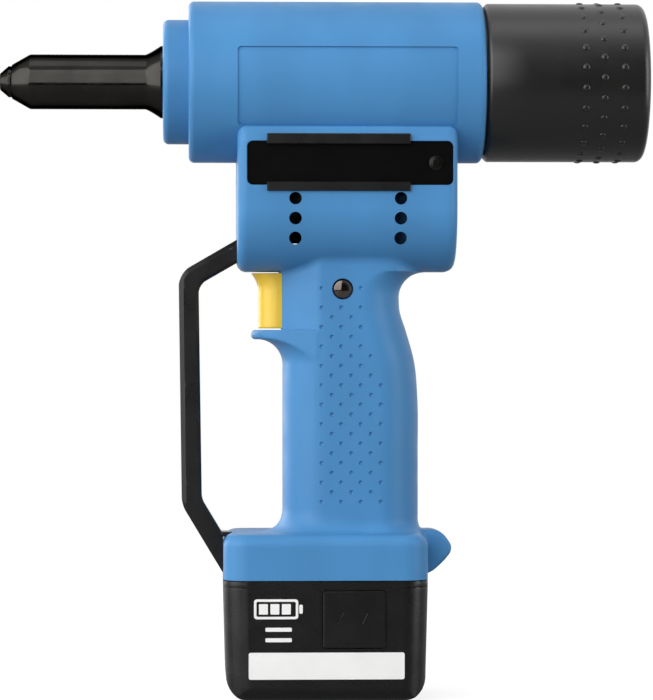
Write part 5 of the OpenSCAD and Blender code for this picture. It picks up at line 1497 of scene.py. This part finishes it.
def battery_keys():
    """Release keys in both sides of the pack, each with two slanting marks and its stop inside."""
    mid_x = (KEY_X[0] + KEY_X[1]) / 2
    mid_z = (KEY_Z[0] + KEY_Z[1]) / 2

    def key(x, y, z):
        cap = box_distance(x, y, z, (KEY_X[0], KEY_INNER - KEY_CAP_ROOT, KEY_Z[0]),
                           (KEY_X[1], PACK_HALF_W, KEY_Z[1]), KEY_EDGE)
        plan = rounded(np.abs(x - mid_x) - (KEY_X[1] - mid_x), np.abs(z - mid_z) - (KEY_Z[1] - mid_z),
                       KEY_CORNER)
        cap = np.maximum(cap, plan)
        flange = box_distance(x, y, z, KEY_LOW, KEY_HIGH, KEY_FLANGE_EDGE)
        flange = np.maximum(flange, np.maximum(KEY_INNER - KEY_FLANGE_T - y, y - KEY_INNER))
        ends = np.maximum(KEY_LOW[Y] - y, y - KEY_INNER)
        post = np.maximum(np.hypot(x - mid_x, z - mid_z) - KEY_POST_R, ends)
        form = np.minimum(np.minimum(cap, flange), post)
        for start in MARK_STARTS:
            run = (x - start) * MARK_RUN + (z - MARK_Z) * MARK_RISE
            run = np.clip(run / (MARK_RUN ** 2 + MARK_RISE ** 2), 0, 1)
            gap = np.hypot(x - start - run * MARK_RUN, z - MARK_Z - run * MARK_RISE)
            form = np.maximum(form, -np.maximum(gap - MARK_HALF_W, PACK_HALF_W - MARK_DEPTH - y))
        return form

    shape = skin(key, KEY_LOW, KEY_HIGH, KEY_STEP)
    for side, name in ((1, "battery_button_right"), (-1, "battery_button_left")):
        piece = mirror_side(add_mesh(name + "_key", *shape), side)
        finish_piece(piece, name.replace("battery_", ""), "black_plastic", [name])


def battery_prints():
    """Blank white label, and a plain battery sign with level bars on the sunk panel."""
    outline = round_rect(LABEL_LOW[X], LABEL_HIGH[X], LABEL_LOW[Z], LABEL_HIGH[Z], LABEL_CORNER)
    label = prism("battery_label_blank", outline, Y, LABEL_LOW[Y], LABEL_HIGH[Y])
    finish_piece(label, "battery", "label_white", ["battery_label"])
    face = PANEL_DEPTH - PACK_HALF_W
    signs = [prism("sign", round_rect(*plate, SIGN_STEPS), Y, face - SIGN_PROUD, face)
             for plate in [SIGN_RIM] + SIGN_PLATES]
    carve(signs[0], prism("sign_hole", round_rect(*SIGN_HOLE, SIGN_STEPS), Y, face - OVER, face + OVER))
    finish_piece(gather("battery_sign", signs), "battery", "label_white", [])


# Springs as node, body, joint, axis, which end is fixed, and turns
SPRINGS = [
    ("trigger_spring", "trigger", "trigger_pull", X, 0, 4),
    ("button_spring_left", "button_left", "button_left_press", Y, 0, 3),
    ("button_spring_right", "button_right", "button_right_press", Y, 1, 3),
]
SPRING_WIRE_R = 0.4


def coil(name, start, axis, length, coil_r, wire_r, turns, steps=20, sides=8):
    """Coil spring of round wire along an axis, with closed ends."""
    count = turns * steps
    first, second = across(axis)
    rise = abs(length) - 2 * wire_r
    points = []
    for k in range(count + 1):
        angle = TURN * k / steps
        for i in range(sides):
            around = TURN * i / sides
            out = coil_r + wire_r * math.cos(around)
            along = wire_r + rise * k / count + wire_r * math.sin(around)
            point = np.array(start)
            point[axis] += math.copysign(along, length)
            point[first] += out * math.cos(angle)
            point[second] += out * math.sin(angle)
            points.append(point)
    faces = [list(range(sides)), list(range(count * sides, (count + 1) * sides))]
    for k in range(count):
        for i in range(sides):
            j = (i + 1) % sides
            faces.append([k * sides + i, k * sides + j, (k + 1) * sides + j, (k + 1) * sides + i])
    return tidy_mesh(add_mesh(name, points, faces), join=False)


def springs():
    """Trigger spring and button springs, each riding on its body."""
    for name, body, joint, axis, fixed, turns in SPRINGS:
        low, high = span(name)
        wide = across(axis)[1]
        coil_r = (high[wide] - low[wide]) / 2 - SPRING_WIRE_R
        start = (low + high) / 2
        start[axis] = (low, high)[fixed][axis]
        length = (high - low)[axis]
        piece = coil(name + "_coil", start, axis, -length if fixed else length, coil_r, SPRING_WIRE_R, turns)
        finish_piece(piece, body, "spring_steel", [name])
        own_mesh(piece)


# Stage: camera and lamps in metres, lamps as name, spot, size, watts and target
CAMERA_SPOT = (-0.0545, -1.450, 0.1433)
CAMERA_AIM = (0.0011, 0.0, 0.1414)
LENS = 182.0
SENSOR = 36.0
TOOL_MIDDLE = (0.0, 0.0, 0.16)
LAMPS = [
    ("front_box", (-0.72, -1.42, 0.82), (1.25, 1.7), 18.6, (-0.095, 0.0, 0.25)),
    ("left_box", (-1.45, -0.60, 0.70), (1.4, 1.6), 22.0, TOOL_MIDDLE),
    ("top_box", (0.0, -0.15, 1.25), (1.2, 0.5), 2.2, TOOL_MIDDLE),
    ("right_box", (1.40, -0.60, 0.40), (0.8, 1.2), 11.0, TOOL_MIDDLE),
    ("back_box", (-1.15, 1.25, 0.60), (1.2, 1.2), 12.0, TOOL_MIDDLE),
]
AMBIENT = 0.20
CAMERA_SIDE_DIM = -0.86
CAMERA_SIDE_WHITE = -0.50
CAMERA_SIDE_LEVEL = 0.06
WHITE = (1.0, 1.0, 1.0, 1.0)
FLOOR_R = 900.0
FLOOR_T = 20.0
FLOOR_DROP = 0.05
FLOOR_FADE = 250.0
FLOOR_GLOW = 0.80
FLOOR_MIRRORED = 0.15
FLOOR_TONE = (0.24, 0.26)


def aim(obj, spot, target):
    """Puts a camera or a lamp at a spot and turns it to a target."""
    obj.location = spot
    obj.rotation_euler = (Vector(target) - Vector(spot)).to_track_quat("-Z", "Y").to_euler()


def camera():
    """Camera at the photograph's distance and angle."""
    data = bpy.data.cameras.new("photo_camera")
    data.lens = LENS
    data.sensor_width = SENSOR
    data.sensor_height = SENSOR
    obj = new_object("photo_camera", data)
    aim(obj, CAMERA_SPOT, CAMERA_AIM)
    bpy.context.scene.camera = obj


def seen_share(tree, mirrored):
    """How much of the white is seen: all by camera and transmission rays, a given share by glossy ones."""
    path = node(tree, "ShaderNodeLightPath").outputs
    glossy = joined(path["Is Glossy Ray"], mirrored, "MULTIPLY")
    straight = joined(path["Is Camera Ray"], path["Is Transmission Ray"], "MAXIMUM")
    return joined(straight, glossy, "MAXIMUM")


def surroundings():
    """White surroundings, dim where the camera stands, that light the tool a little."""
    world = bpy.data.worlds.new("white_studio")
    bpy.context.scene.world = world
    world.use_nodes = True
    tree = world.node_tree
    shader = tree.nodes["Background"]
    shader.inputs["Color"].default_value = WHITE
    way = node(tree, "ShaderNodeTexCoord").outputs["Generated"]
    depth = node(tree, "ShaderNodeSeparateXYZ", {"Vector": way}).outputs["Y"]
    white = remap(depth, CAMERA_SIDE_LEVEL, 1.0, CAMERA_SIDE_DIM, CAMERA_SIDE_WHITE)
    lit = joined(node(tree, "ShaderNodeLightPath").outputs["Is Diffuse Ray"], AMBIENT, "MULTIPLY")
    feed(shader, "Strength", joined(seen_share(tree, white), lit, "MAXIMUM"))


def pale_floor():
    """Pale floor that fades into the surroundings and keeps the tool's shadow."""
    floor = prism("floor", circle(0.0, 0.0, FLOOR_R, sides=64), Z, -FLOOR_T, -FLOOR_DROP)
    material, shader, place = new_finish("pale_floor", (sum(FLOOR_TONE) / 2,) * 3, roughness=0.9)
    tree = material.node_tree
    tone = remap(grain(place, size=400.0), *FLOOR_TONE)
    tint = node(tree, "ShaderNodeCombineColor", {"Red": tone, "Green": tone, "Blue": tone})
    feed(shader, "Base Color", tint.outputs["Color"])
    shader.inputs["Emission Color"].default_value = WHITE
    off = node(tree, "ShaderNodeVectorMath", {0: place}, operation="LENGTH").outputs["Value"]
    glow = remap(off, FLOOR_GLOW, 1.0, FLOOR_FADE * MM, FLOOR_R * MM)
    feed(shader, "Emission Strength", joined(seen_share(tree, FLOOR_MIRRORED), glow, "MULTIPLY"))
    floor.data.materials.append(material)


def studio():
    """Soft studio light from large lamps in front, at the left, above, at the right and behind."""
    for name, spot, size, power, target in LAMPS:
        data = bpy.data.lights.new(name, "AREA")
        data.shape = "RECTANGLE"
        data.size, data.size_y = size
        data.energy = power
        aim(new_object(name, data), spot, target)


dress_frame()
housing()
head_sleeve()
nosepiece()
mandrel_container()
knuckle_guard()
trigger()
side_rails()
grip_bolts()
screws()
battery_tub()
battery_lid()
battery_keys()
battery_prints()
springs()
camera()
surroundings()
pale_floor()
studio()
scene = bpy.context.scene
scene.view_settings.view_transform = "Standard"
